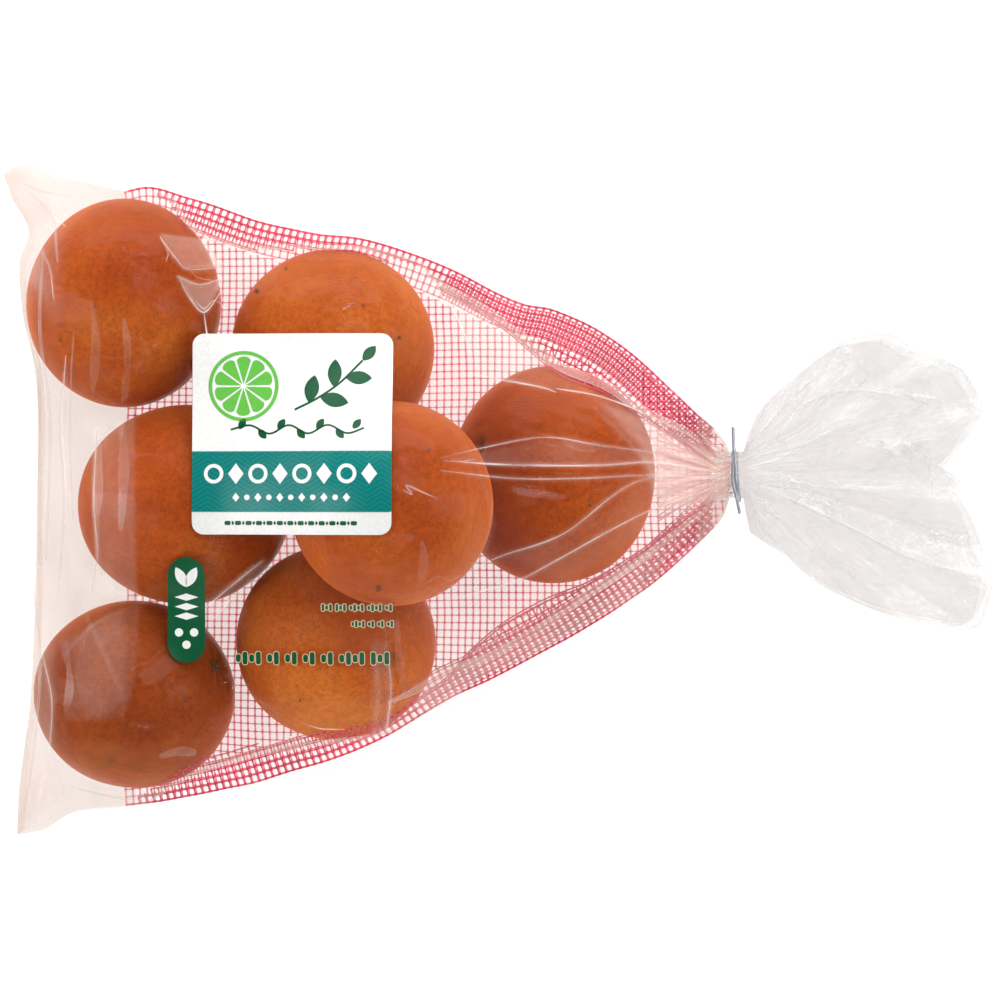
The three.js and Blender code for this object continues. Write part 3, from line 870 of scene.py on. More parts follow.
far_families = side_band(FAR_SIDE, NET_START, FAR_NET_BORDER) + selvedge(FAR_NET_BORDER[9:])
near_families = side_band(NEAR_SIDE, NET_START, NEAR_NET_BORDER) + selvedge(NEAR_NET_BORDER[7:])
for side, start_x, shift in (
    (FAR_SIDE, photo_x(FAR_FOLD_START), (1.1, 1.3)), (NEAR_SIDE, photo_x(NEAR_FOLD_START), (1.3, 1.1)),
    (FAR_SIDE, NET_START, (0.3, 0.2)), (NEAR_SIDE, NET_START, (0.3, 0.2)),
):
    back_families += side_band(side, start_x, shift=shift)
pieces["back_net"] = strand_piece("back_net", back_families)
pieces["far_net"] = strand_piece("far_net", far_families)
pieces["near_net"] = strand_piece("near_net", near_families)
print("side nets:", [len(pieces[name].data.polygons) for name in ("back_net", "far_net", "near_net")], "faces")

# %% [markdown]
# ## Film at the sealed bottom
#
# The bottom of the bag is film on both sides. Here the two sheets are welded into a flat seal with a fine grain from
# the welding bar, and they end in two corner ears. The film of the back reaches as far as the net, which is welded
# under its edge. The front seams are narrow doubled strips, milky and slightly raised.

# %% Back film, seal and seams
def film_strip(name, line, width, lift, haze_and_shine, rows=7, count=240, fade=0.15):
    """A narrow strip of milky film along a smooth line, with a soft round section. At seams it is doubled film, at
    creases and pleats doubled film with a painted highlight, at glints and shines a painted highlight alone.
    """
    centre = curve_through(line, count)[:, :2]
    run = directions(centre)
    square = np.stack([-run[:, 1], run[:, 0]], axis=1)
    offset = np.linspace(-0.5, 0.5, rows)
    taper = np.sin(np.pi * np.clip(np.linspace(0, 1, count), 0.02, 0.98)) ** 0.25
    taper = taper * (1 + fade * np.clip(noise(centre[:, 0], centre[:, 1], 9, 83), -1, 1))
    place = centre[:, None] + square[:, None] * (offset[None, :, None] * width * taper[:, None, None])
    x, y = place[..., 0], place[..., 1]
    z = film_height(x, y) + lift * (1 - 2.5 * offset[None] ** 2)
    values = haze_and_shine * (0.75 + 0.25 * noise(x, y, 5, 81)) * (1 - fade + fade * noise(x, y, 14, 84))
    values = values * (1 + 0.6 * (np.abs(offset[None]) > 0.4)) if rows > 4 else values
    return sheet_piece(name, np.dstack([x, y, z]), values)


BACK_FILM_NEAR, BACK_FILM_FAR = -110.2, 112.4
back_corners = [(BACK_FILM_END, y, 0.0) for y in (BACK_FILM_NEAR, BACK_FILM_FAR)]
back_end = np.linspace(*back_corners, 60)
back_near, back_far = (
    [p for p in side if p[0] < BACK_FILM_END] + [corner] for side, corner in zip((NEAR_SIDE, FAR_SIDE), back_corners)
)
back_grid = body_plan(50, 180, far=back_far, near=back_near, end=curve_through(back_end, 180))
back_x, back_y = back_grid[..., 0], back_grid[..., 1]
back_z = np.maximum(look_up(under_map, back_x, back_y) - 0.8 * sharp_folds(back_x, back_y / 3, 12, 91), 0.12)
back_haze = 0.06 + 0.1 * np.clip(noise(back_x, back_y / 3, 8, 92), 0, 1)
pieces["back_film"] = sheet_piece("back_film", np.dstack([back_x, back_y, back_z]), back_haze)

SEAL_INSET = 2.6
seal_line = [(x + SEAL_INSET, y * 0.985, z) for x, y, z in SEALED_END]


def between_sheets(x, y):
    return 0.5 * (look_up(over_map, x, y) + look_up(under_map, x, y)) + 0.25 * np.sin(x * 2.4)


seal_grid = body_plan(8, 300, far=[SEALED_END[-1], seal_line[-1]], near=[SEALED_END[0], seal_line[0]],
                      end=curve_through(seal_line, 300))
seal_x, seal_y = seal_grid[..., 0], seal_grid[..., 1]
seal_z = between_sheets(seal_x, seal_y)
seal_haze = 0.34 + 0.12 * noise(seal_x, seal_y, 7, 95)
pieces["heat_seal"] = sheet_piece("heat_seal", np.dstack([seal_x, seal_y, seal_z]), seal_haze)

NEAR_SEAM = [
    (388, 702), (428, 684), (452, 669), (484, 658), (532, 632), (564, 610), (597, 588), (640, 560), (700, 512),
]
SEAMS = {  # line, width, lift, haze
    "far_seam": ([p for p in FILM_FAR_EDGE if p[0] > 415], 3.6, 0.4, 0.32),
    "near_seam": (NEAR_SEAM, 3.2, 0.6, 0.4),
    "far_weld": ([p for p in FILM_FAR_EDGE if 148 <= p[0] < 425], 2.0, 0.3, 0.3),
    "near_weld": ([p for p in FILM_NEAR_EDGE if 150 <= p[0] < 400], 2.0, 0.3, 0.35),
}
for name, (line, width, lift, haze_and_shine) in SEAMS.items():
    pieces[name] = film_strip(name, from_photo(line), width, lift, haze_and_shine)
# Pleats of the bottom film, in pixels, with width in mm and haze: folded film, and painted reflections of the streaks
# along them.
END_PLEATS_AND_REFLECTIONS = [
    ([(64, 372), (60, 420), (64, 500), (58, 596)], 1.2, 0.3),
    ([(97, 430), (93, 500), (97, 556), (92, 592)], 0.9, 0.2),
    ([(44, 250), (40, 330), (50, 420), (46, 560)], 1.4, 0.22),
    ([(74, 330), (70, 420), (73, 520)], 0.7, 0.2),
    ([(34, 590), (40, 680), (32, 760), (24, 812)], 1.3, 0.25),
    ([(28, 190), (52, 216), (58, 262)], 1.2, 0.3),
    ([(14, 178), (40, 190), (72, 196)], 1.0, 0.3),
    ([(70, 786), (110, 796), (140, 800)], 1.0, 0.25),
]
pleats = [film_strip(f"pleat_{k}", from_photo(points), width, 0.3, haze_and_shine, rows=5, count=160)
          for k, (points, width, haze_and_shine) in enumerate(END_PLEATS_AND_REFLECTIONS)]
pieces["end_pleats_and_reflections"] = join("end_pleats_and_reflections", pleats)
print("film strips and seal made")

# %% [markdown]
# ## Creases
#
# Sharp creases catch the light as thin white lines that stay crisp however the film bends. Each is painted as a thin
# strip of milky film on the crest of its fold: a painted highlight, partly the whitening of the creased film. Small
# crumples get painted glints in the same way, and where the film is only bent, painted shine in broad faint patches.

# %% Crease lines, and painted glints of small crumples and painted shine of bent film, in pixels of the photograph
CREST = 0.32  # width of the sharpest crease in mm
PAINTED_GLINTS = [
    [(402, 489), (412, 494), (406, 485), (421, 491), (437, 498)], [(427, 583), (438, 576), (450, 580), (462, 574)],
    [(428, 588), (441, 592), (452, 585), (466, 586)], [(478, 566), (470, 574), (480, 578), (472, 588)],
    [(383, 606), (386, 640), (383, 690)], [(404, 690), (392, 706), (380, 712)], [(300, 722), (320, 728), (345, 729)],
    [(260, 700), (276, 712), (296, 719)], [(160, 236), (168, 252), (166, 262)], [(188, 262), (196, 276), (212, 280)],
    [(196, 300), (204, 308), (214, 300), (222, 304)], [(644, 469), (656, 471), (671, 474)], [(702, 466), (711, 455)],
    [(443, 457), (458, 461), (474, 459)], [(690, 478), (706, 470), (722, 466)],
]
PAINTED_SOFT_SHINES = [
    [(92, 300), (96, 340), (93, 392)], [(124, 318), (128, 352), (124, 400)], [(97, 425), (99, 480), (96, 560)],
    [(122, 420), (124, 470), (121, 530)], [(512, 489), (535, 493), (566, 497)], [(562, 440), (584, 447), (606, 444)],
    [(240, 262), (254, 257), (268, 260)], [(396, 620), (400, 660), (404, 692)], [(422, 540), (424, 560), (421, 582)],
    [(160, 756), (178, 751), (196, 752)], [(480, 576), (502, 580), (524, 578)], [(64, 640), (70, 680), (66, 712)],
]
crests_and_painted_glints = []
for k, (line, height, width, haze_and_shine) in enumerate(FOLD_AND_SHINE_LINES):
    if haze_and_shine >= 0.5:
        shape = dict(width=CREST + 0.28 * haze_and_shine, lift=0.14, haze_and_shine=0.25 + 0.6 * haze_and_shine)
        crests_and_painted_glints.append(film_strip(f"crest_{k}", line, **shape, rows=4, count=120, fade=0.45))
for k, line in enumerate(PAINTED_GLINTS):
    shape = dict(width=0.42, lift=0.16, haze_and_shine=0.75)
    crests_and_painted_glints.append(film_strip(f"glint_{k}", from_photo(line), **shape, rows=4, count=60, fade=0.6))
for k, line in enumerate(PAINTED_SOFT_SHINES):
    shape = dict(width=3.0, lift=0.2, haze_and_shine=0.11)
    crests_and_painted_glints.append(film_strip(f"shine_{k}", from_photo(line), **shape, rows=5, count=60, fade=0.5))
pieces["film_creases_and_glints"] = join("film_creases_and_glints", crests_and_painted_glints)
print("crease lines:", len(crests_and_painted_glints))

# %% [markdown]
# ## The neck and the loose film
#
# Past the fruit the bag is pulled together into a bundle as thick as a thumb and held by a wire. Beyond it the mouth
# of the bag springs open again into two lobes, each a few sheets of pleated film. A pleat keeps its place from neck
# to rim, so the sheets are built in polar coordinates: a bearing from the neck and a distance, with pleats that grow
# with the distance. On top come small sharp facets, the crumple that film keeps from being bunched.

# %% Gathered neck
SHOULDER_START = 73.0
SHOULDER_PLEATS = 17
NECK_PLEAT = 0.07  # depth of a pleat as a share of the neck's radius


def neck_tube(name, x_from, x_to, size_in_wire, columns=46, rows=180):
    """The bundle of film that the wire holds: an oval tube, pleated along its length and wider off the wire."""
    x = np.linspace(x_from, x_to, columns)[:, None] * np.ones((1, rows))
    turn = np.linspace(0, 2 * np.pi, rows)[None]
    size = size_in_wire + 0.35 * smooth_step(np.abs(x - NECK_X), 2.5, 13)
    pleats = NECK_PLEAT * (np.sin(13 * turn + 1.5 * np.sin(2 * turn)) + 0.5 * np.sin(29 * turn))
    ripple = 0.05 * noise(x * 3, turn * 9, 3, 101)
    radius = size * (1 + pleats + ripple) - 0.04
    y = NECK_Y + NECK_HALF_WIDTH * radius * np.cos(turn)
    z = NECK_Z + NECK_HALF_HEIGHT * radius * np.sin(turn)
    haze_and_shine = 0.22 + 0.16 * np.clip(pleats / NECK_PLEAT, 0, 1) + 0 * x
    return sheet_piece(name, np.dstack([x, y, z]), haze_and_shine)


def shoulder(name, upper, columns=40, rows=110):
    """One side of the film between the end of the net and the wire, from outline to outline."""
    across = np.linspace(0, 1, rows)[None]
    start = SHOULDER_START + 2.5 * noise(40 * across, 7 * across, 9, 111)
    x = start + np.linspace(0, 1, columns)[:, None] * (NECK_LEFT + 1 - start)
    near_curve, far_curve = curve_through(NEAR_SIDE, 400), curve_through(FAR_SIDE, 400)
    low, high = [np.interp(x, curve[:, 0], curve[:, 1]) for curve in (near_curve, far_curve)]
    y = low + (high - low) * across
    section_half = neck_section(across)[1]
    into_wire = smooth_step(x, NECK_LEFT - 6, NECK_LEFT)
    gathered = smooth_step(x, SHOULDER_START - 1, 80)
    turn = 2 * np.pi * SHOULDER_PLEATS * across
    pleats = 0.4 * np.sin(turn + 2 * np.sin(5 * across)) * gathered
    if upper:
        free_z, neck_side = film_height(x, y) + 0.3, NECK_Z + section_half + 0.3
    else:
        free_z, neck_side = look_up(under_map, x, y) - 0.1, NECK_Z - section_half - 0.2
    z = free_z * (1 - into_wire) + neck_side * into_wire + pleats
    haze_and_shine = 0.16 + 0.12 * np.sin(turn) ** 2 * gathered
    return sheet_piece(name, np.dstack([x, y, z]), haze_and_shine)


pieces["shoulder_top"] = shoulder("shoulder_top", upper=True)
pieces["shoulder_bottom"] = shoulder("shoulder_bottom", upper=False)
pieces["neck_film"] = neck_tube("neck_film", NECK_LEFT - 7, NECK_RIGHT - 2, 0.93)


def neck_strands(count=34):
    """The gathered ends of the net inside the neck."""
    draw = np.random.default_rng(5)
    paths = []
    for _ in range(count):
        turn, depth = draw.uniform(0, 2 * np.pi), draw.uniform(0.35, 0.85)
        x = np.arange(NECK_LEFT - 26, NECK_LEFT + draw.uniform(-3, 3), PITCH / 2)
        spread = depth * (1 + 0.075 * np.maximum(0, NECK_LEFT - 4 - x))
        y = NECK_Y + NECK_HALF_WIDTH * spread * np.cos(turn + 0.03 * x)
        flat = 0.9 - 0.02 * np.maximum(0, NECK_LEFT - x)
        z = NECK_Z + NECK_HALF_HEIGHT * spread * np.sin(turn + 0.03 * x) * flat
        paths.append((np.stack([x, y, z], axis=1), (np.arange(len(x)) % 2).astype(float)))
    return paths


pieces["neck_net"] = strand_piece("neck_net", [(neck_strands(), TAPE["along"])])
print("neck made")

# %% Loose film
FAN_RIM = [
    (-83, 18.5), (-62.9, 32), (-55.7, 47), (-48.8, 61.4), (-43.1, 76.6), (-37.4, 91.5), (-34.6, 100.2),
    (-31.9, 103.1), (-22.1, 99.4), (-16.9, 92.6), (-9.8, 84.9), (-4.4, 78.2), (-1.2, 80.5), (2.7, 73),
    (9, 81.6), (15.8, 92.7), (25.1, 90.3), (36.2, 79.3), (44.1, 74.4), (53.1, 61.7), (62.2, 39.8), (76.7, 21.9),
]
FAN_NOTCH = 3.0  # bearing in degrees where the two lobes part
FAN_PLEATS = 9
PLEAT_SLOPE = 0.05
LOBE_HALF = 3.6  # half the distance between the top and the bottom sheet
FAN_DROP = 60.0  # distance over which the film sinks from the neck to the table
FAN_SPREAD = 28.0  # distance over which the neck's oval opens into the fan
FAN_START = 3.0  # how far the sheets reach back into the neck
# Folds of the loose film, in pixels: points, height and half width in mm, and haze, a painted highlight along the
# crest on the upper sheets.
TAIL_FOLDS_AND_SHINES = [
    ([(747, 477), (814, 510), (851, 526), (904, 555), (959, 571), (996, 583)], 2.0, 2.4, 0.45),
    ([(746, 474), (800, 470), (860, 486), (930, 480)], 1.4, 3.0, 0.25),
    ([(745, 466), (790, 455), (822, 434), (875, 420), (916, 414), (960, 410)], 1.8, 3.0, 0.25),
    ([(744, 462), (775, 440), (798, 408), (830, 393), (867, 390), (922, 398), (988, 404)], 1.8, 2.6, 0.3),
    ([(742, 455), (765, 425), (800, 390), (835, 360), (847, 338)], 1.6, 2.6, 0.3),
    ([(744, 480), (760, 520), (790, 555), (830, 570)], 1.4, 2.6, 0.3),
    ([(748, 482), (780, 520), (830, 560), (900, 600), (960, 620)], 1.6, 3.0, 0.3),
    ([(744, 470), (780, 476), (815, 486), (862, 492)], 1.6, 2.2, 0.35),
    ([(918, 344), (908, 356), (898, 370)], 1.0, 2.0, 0.3),
    ([(928, 436), (932, 470), (938, 505)], 1.2, 1.8, 0.4),
    ([(860, 360), (870, 375), (852, 392), (826, 404)], 1.0, 2.4, 0.3),
    ([(905, 540), (940, 534), (972, 540)], 1.2, 2.0, 0.2),
    ([(745, 468), (775, 459), (812, 440), (838, 428)], 1.4, 2.0, 0.4),
]
# Areas of small sharp facets, in pixels, whose haze paints their glints.
CRINKLES_WITH_GLINTS = [
    [(863, 431), (900, 438), (930, 440), (930, 462), (905, 460), (870, 445)],
    [(775, 472), (800, 480), (851, 505), (848, 522), (810, 512), (775, 490)],
    [(912, 530), (975, 532), (975, 546), (915, 546)],
    [(960, 560), (990, 560), (992, 580), (960, 575)],
    [(912, 390), (936, 392), (934, 406), (912, 404)],
    [(970, 396), (992, 396), (990, 412), (968, 410)],
    [(838, 340), (855, 340), (856, 366), (840, 362)],
]
TAIL_FOLD_AND_SHINE_LINES = [(from_photo(points), height, width, haze_and_shine) for points, height, width, haze_and_shine in TAIL_FOLDS_AND_SHINES]
CRINKLED_GLINT_AREAS = [from_photo(points) for points in CRINKLES_WITH_GLINTS]


def fan_sheet(name, layer, rim_share, edge_haze, seed, columns=170, rows=330):
    """One sheet of the loose film. layer runs from -1, the lowest, to 1, the highest.

    rim_share is the sheet's size as a share of the fan's, with the height, turns and start of a wave along its rim.
    """
    size, wave, turns, start = rim_share
    out, across = np.linspace(0, 1, columns)[:, None], np.linspace(0, 1, rows)[None]
    section_y, section_half = neck_section(across)
    bearing = FAN_RIM[0][0] + across * (FAN_RIM[-1][0] - FAN_RIM[0][0])
    rim = np.interp(bearing, *zip(*FAN_RIM)) * (size + wave * np.sin(np.deg2rad(bearing * turns + start)))
    reach = -FAN_START + out * (rim + FAN_START)
    outward = np.maximum(reach, 0)
    lobe = np.where(
        bearing < FAN_NOTCH,
        (bearing - FAN_RIM[0][0]) / (FAN_NOTCH - FAN_RIM[0][0]),
        (FAN_RIM[-1][0] - bearing) / (FAN_RIM[-1][0] - FAN_NOTCH),
    )
    loose = smooth_step(reach, 0, FAN_DROP)
    full = np.sin(np.pi * np.clip(lobe, 0, 1)) ** 0.5
    apart = section_half * (1 - smooth_step(reach, 0, 30)) + LOBE_HALF * full * smooth_step(reach, 0, 30)
    turn = 2 * np.pi * FAN_PLEATS * across
    pleat = PLEAT_SLOPE * outward * np.sin(turn + 0.35 * layer) * (1 - 0.45 * smooth_step(out, 0.6, 1))
    near = np.exp(-outward / 38)
    fine = near * outward * (0.03 * np.sin(3.1 * turn + seed) + 0.015 * np.sin(5.7 * turn + 2 * seed))
    ribbed = (1 - smooth_step(reach, 0, 10)) * 0.3 * np.sin(4.3 * turn + seed)
    wide = np.deg2rad(bearing) * 62
    broad = sharp_folds(wide, outward * 0.45, 15, seed + 10)
    small = sharp_folds(wide * 1.3 + 0.3 * outward, outward * 0.6, 8, seed + 20)
    calm = smooth_step(reach, 8, 45) * (1 - 0.6 * smooth_step(out, 0.75, 1))
    crumple = (2.2 * (broad - 0.5) + 0.45 * (small - 0.5)) * calm
    spread = smooth_step(reach, 0, FAN_SPREAD)
    angle = np.deg2rad(bearing + 0.6 * noise(outward, bearing * 2, 22, seed + 30) * smooth_step(reach, 5, 30))
    x = NECK_RIGHT + np.where(reach > 0, reach * np.cos(angle), reach)
    y = section_y * (1 - spread) + NECK_Y * spread + outward * np.sin(angle)
    # Haze in the ribs by the neck and on the crests of the broad crumple: painted shade in the ribs and painted
    # highlights on the crests, with a milky line along the rim.
    haze_and_shine = 0.05 + 0.08 * (1 - smooth_step(reach, 0, 30)) * np.sin(4.3 * turn + seed) ** 2
    haze_and_shine = haze_and_shine + edge_haze * np.exp(-(((1 - out) * rim / 0.7) ** 2)) + 0.12 * smooth_step(broad, 0.88, 1.0)
    haze_and_shine = haze_and_shine + 0.14 * np.clip(noise(x, y, 14, seed + 40), 0, 1) ** 2
    z = NECK_Z * (1 - loose) + (LOBE_HALF + PLEAT_SLOPE * outward) * loose
    z = z + pleat + fine + ribbed + crumple + layer * apart
    if layer > 0:
        # On the upper sheets each fold gets a painted highlight along its crest.
        for line, height, width, amount in TAIL_FOLD_AND_SHINE_LINES:
            gap, share = line_distance(line, x, y)
            along = fold_ends(share)
            z = z + height * layer * np.clip(1 - gap / width, 0, 1) ** 1.3 * along
            haze_and_shine = haze_and_shine + 0.7 * amount * np.exp(-((gap / (0.22 * width)) ** 2)) * along
    # Crinkled areas: sharp facets, with painted glints in the haze, strongest on the top sheet.
    for corners in CRINKLED_GLINT_AREAS:
        inside = smooth_step(area_depth(corners, x, y), -1.5, 2.5)
        crinkle = sharp_folds(x + y, y - 0.3 * x, 4.5, seed + 50)
        z = z + 0.9 * inside * (crinkle - 0.4)
        haze_and_shine = haze_and_shine + (0.45 if layer == 1 else 0.1) * inside * smooth_step(crinkle, 0.45, 0.95)
    z = np.maximum(z, 0.3 + 0.3 * (layer + 1))
    return sheet_piece(name, np.dstack([x, y, z]), np.clip(haze_and_shine, 0, 0.7))


TAIL_SHEETS = {
    "tail_top": (1.0, (1.0, 0, 0, 0), 0.3, 201),
    "tail_upper": (0.35, (0.965, 0.02, 5, 0), 0.1, 202),
    "tail_lower": (-0.35, (0.96, 0.03, 4, 130), 0.1, 203),
    "tail_bottom": (-1.0, (0.99, 0.006, 9, 0), 0.3, 204),
}
for name, sheet in TAIL_SHEETS.items():
    pieces[name] = fan_sheet(name, *sheet)
print("tail sheets of", len(pieces["tail_top"].data.polygons), "faces")

# %% [markdown]
# ## The wire
#
# One piece of galvanised steel wire, 1.1 mm thick, goes a little more than once round the neck, and both ends lie
# over it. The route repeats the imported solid's points. A round bevel on a smooth curve gives a finer wire than the
# solid's eight flat sides.

# %% Wire tie
WIRE_RADIUS = 0.55
WIRE_CLEARANCE = 0.4
WIRE_TURN_STEPS = 14
WIRE_START = [(84.2, 26.2, 29.2), (84.4, 19.0, 30.2)]
WIRE_END = [(85.6, 0.0, 29.6), (86.6, -4.8, 28.2)]
WIRE_TURN = (0.42, 2.58)  # where it starts and stops going round, in half turns
WIRE_CROSSING = (0.27, 0.94)  # shares of that way between which it runs across to the other side


def wire_route():
    points = list(WIRE_START)
    stand = WIRE_CLEARANCE + WIRE_RADIUS
    for t in np.linspace(0, 1, WIRE_TURN_STEPS + 1):
        turn = math.pi * (WIRE_TURN[0] + t * (WIRE_TURN[1] - WIRE_TURN[0]))
        x = 85 + 1.8 * smooth_step(t, 0, WIRE_CROSSING[0]) - 2.7 * smooth_step(t, *WIRE_CROSSING)
        y = NECK_Y + (NECK_HALF_WIDTH + stand) * math.cos(turn)
        points.append((x, y, NECK_Z + (NECK_HALF_HEIGHT + stand) * math.sin(turn)))
    return curve_through(points + WIRE_END, 150)


curve = bpy.data.curves.new("wire", "CURVE")
curve.dimensions = "3D"
curve.bevel_depth = WIRE_RADIUS * MM
curve.bevel_resolution = 4
curve.use_fill_caps = True
spline = curve.splines.new("POLY")
route = wire_route() * MM
spline.points.add(len(route) - 1)
for point, place in zip(spline.points, route):
    point.co = (*place, 1)
wire = bpy.data.objects.new("wire", curve)
bpy.context.collection.objects.link(wire)
bpy.ops.object.select_all(action="DESELECT")
wire.select_set(True)
bpy.context.view_layer.objects.active = wire
bpy.ops.object.convert(target="MESH")
bpy.ops.object.shade_smooth()
pieces["wire"] = bpy.context.object
print("wire of", len(pieces["wire"].data.polygons), "faces")

# %% [markdown]
# ## Print
#
# The film carries a white panel with a teal band, a dark green pill and a few small green lines. Ink on film is a
# few micrometres thick, so each colour is a flat outline laid on the film. To bend with it, an outline is cut along
# the lines of one common triangle grid. Every layer then has its facets in the same places, and a layer that lies a
# tenth of a millimetre higher never dips under the one below it. The motifs are plain ornament: a slice of fruit, a
# sprig, rows of dots and lozenges.

# %% Lay flat outlines on the film
INK_GRID = 1.2
INK_LIFT = 0.1  # lowest ink over the film
INK_STEP = 0.08  # each further ink over the one below
INK_LEFT, INK_NEAR = -126.0, -64.0
ink_nodes = np.meshgrid(INK_LEFT + INK_GRID * np.arange(90), INK_NEAR + INK_GRID * np.arange(112), indexing="ij")
ink_base = film_height(*ink_nodes) + INK_LIFT


def ink_height(x, y):
    """Height of the common triangle grid over each place."""
    gx, gy = (x - INK_LEFT) / INK_GRID, (y - INK_NEAR) / INK_GRID
    i, j = np.floor(gx + 1e-6).astype(int), np.floor(gy + 1e-6).astype(int)
    u, v = gx - i, gy - j
    low = ink_base[i, j] + u * (ink_base[i + 1, j] - ink_base[i, j]) + v * (ink_base[i, j + 1] - ink_base[i, j])
    far = ink_base[i + 1, j + 1]
    high = far + (1 - u) * (ink_base[i, j + 1] - far) + (1 - v) * (ink_base[i + 1, j] - far)
    return np.where(u + v <= 1, low, high)


def ink_piece(name, outlines, layer):
    """Flat outlines in millimetres, cut along the common grid and laid on the film."""
    b = bmesh.new()
    for shape in outlines:
        shape = np.asarray(shape, float)
        turn = np.sum(shape[:, 0] * np.roll(shape[:, 1], -1) - shape[:, 1] * np.roll(shape[:, 0], -1))
        b.faces.new([b.verts.new((x, y, 0)) for x, y in (shape if turn > 0 else shape[::-1])])
    bmesh.ops.triangulate(b, faces=b.faces[:])
    low, high = (np.array([f(v.co[k] for v in b.verts) for k in (0, 1)]) for f in (min, max))
    for normal, step in (((1, 0, 0), (INK_GRID, 0, 0)), ((0, 1, 0), (0, INK_GRID, 0)), ((1, 1, 0), (INK_GRID, 0, 0))):
        start, end = ((corner - (INK_LEFT, INK_NEAR)) @ np.array(normal[:2]) / INK_GRID for corner in (low, high))
        for k in range(math.ceil(start), math.floor(end) + 1):
            place = np.array([INK_LEFT, INK_NEAR, 0]) + k * np.array(step)
            cut = b.verts[:] + b.edges[:] + b.faces[:]
            bmesh.ops.bisect_plane(b, geom=cut, dist=1e-5, plane_co=place, plane_no=normal)
    bmesh.ops.remove_doubles(b, verts=b.verts[:], dist=1e-4)
    place = np.array([v.co[:] for v in b.verts])
    heights = ink_height(place[:, 0], place[:, 1]) + INK_STEP * layer
    for v, z in zip(b.verts, heights):
        v.co = (v.co.x * MM, v.co.y * MM, z * MM)
    mesh = bpy.data.meshes.new(name)
    b.to_mesh(mesh)
    b.free()
    mesh.shade_smooth()
    piece = bpy.data.objects.new(name, mesh)
    bpy.context.collection.objects.link(piece)
    return piece


# %% Outlines of the ornaments
def disc(x, y, radius, sides=36):
    turn = np.linspace(0, 2 * np.pi, sides, endpoint=False)
    return np.stack([x + radius * np.cos(turn), y + radius * np.sin(turn)], axis=1)


def ring(x, y, inner, outer, sides=36):
    """A ring as short pieces, because one outline has no hole."""
    a, b = disc(x, y, inner, sides), disc(x, y, outer, sides)
    return [[a[k], b[k], b[(k + 1) % sides], a[(k + 1) % sides]] for k in range(sides)]


def rounded(x, y, width, height, radius, steps=8):
    corners = [(1, 1, 0), (-1, 1, 90), (-1, -1, 180), (1, -1, 270)]
    outline = []
    for sx, sy, start in corners:
        turn = np.deg2rad(np.linspace(start, start + 90, steps))
        centre = (x + sx * (width / 2 - radius), y + sy * (height / 2 - radius))
        outline += [(centre[0] + radius * math.cos(t), centre[1] + radius * math.sin(t)) for t in turn]
    return outline


def lozenge(x, y, width, height):
    return [(x + width / 2, y), (x, y + height / 2), (x - width / 2, y), (x, y - height / 2)]


def leaf(x, y, length, width, angle, steps=12):
    """A pointed leaf from its stalk at x, y."""
    t = np.linspace(0, 1, steps)
    half = width / 2 * np.sin(np.pi * t) ** 0.8
    local = np.vstack([np.stack([t * length, half], 1), np.stack([t * length, -half], 1)[-2:0:-1]])
    c, s = math.cos(math.radians(angle)), math.sin(math.radians(angle))
    return local @ np.array([[c, s], [-s, c]]) + (x, y)


def stroke(points, width, count=30):
    """A thin line of even width as short pieces."""
    line = curve_through(points, count)
    run = directions(line)
    side = np.stack([-run[:, 1], run[:, 0]], 1) * width / 2
    return [[line[k] - side[k], line[k + 1] - side[k + 1], line[k + 1] + side[k + 1], line[k] + side[k]]
            for k in range(count - 1)]


def segments(x, y, radius, count, first=0.0, gap=0.5):
    """The wedges of a slice of fruit, with rounded outer corners."""
    wedges = []
    for k in range(count):
        middle = math.radians(first + 360 * (k + 0.5) / count)
        half = math.pi / count
        tip = gap / math.sin(half) / 2
        outline = [(x + tip * math.cos(middle), y + tip * math.sin(middle))]
        for t in np.linspace(-1, 1, 9):
            angle = middle + half * 0.86 * t
            reach = radius * (1 - 0.1 * abs(t) ** 3)
            outline.append((x + reach * math.cos(angle), y + reach * math.sin(angle)))
        wedges.append(outline)
    return wedges


print("ornaments ready")

# %% Panel, band and ornaments
(PANEL_X, PANEL_Y), = from_photo([(291.5, 433)])
PANEL = 71.6
BAND_TOP, BAND_BOTTOM = -6.4, -27.6
(PILL_X, PILL_Y), = from_photo([(186.5, 609.5)])


def shifted(outlines, x, y):
    return [np.asarray(outline, float) + (x, y) for outline in outlines]


band = [(-PANEL / 2, BAND_BOTTOM), (PANEL / 2, BAND_BOTTOM), (PANEL / 2, BAND_TOP), (-PANEL / 2, BAND_TOP)]
saw = np.arange(-PANEL / 2 + 0.5, PANEL / 2 - 0.3, 1.0)
band_teeth = [[(x - 0.5, edge), (x + 0.5, edge), (x, edge + tip)] for x in saw
              for edge, tip in ((BAND_TOP, 0.35), (BAND_BOTTOM, -0.35))]
slice_rim = ring(-17.5, 17.0, 11.3, 12.6, 48)
slice_flesh = segments(-17.5, 17.0, 10.6, 10)
sprig = stroke([(1, 8.5), (9, 12.5), (17, 18), (25, 26)], 0.8)
sprig_leaves = [leaf(6, 11, 10, 5.2, 78), leaf(10, 13, 10.5, 5.2, -12), leaf(15, 16.5, 10, 5, 88),
                leaf(19, 20, 9.5, 4.8, -2), leaf(25, 26, 7, 3.8, 48)]
vine = stroke([(-22, 1.5), (-15, 3), (-8, 0), (-1, 3), (6, 0), (13, 3), (20, 0), (26, 1.8)], 0.7, 60)
vine_leaves = [leaf(x, 1.6, 4.4, 2.6, turn) for x, turn in
               ((-19, 60), (-12, -50), (-5, 55), (2, -50), (9, 55), (16, -50), (22, 50))]
bottom_row = [rounded(x, -31.7, 2.2, 1.5, 0.5, 4) for x in np.arange(-23, 24, 3.8)]
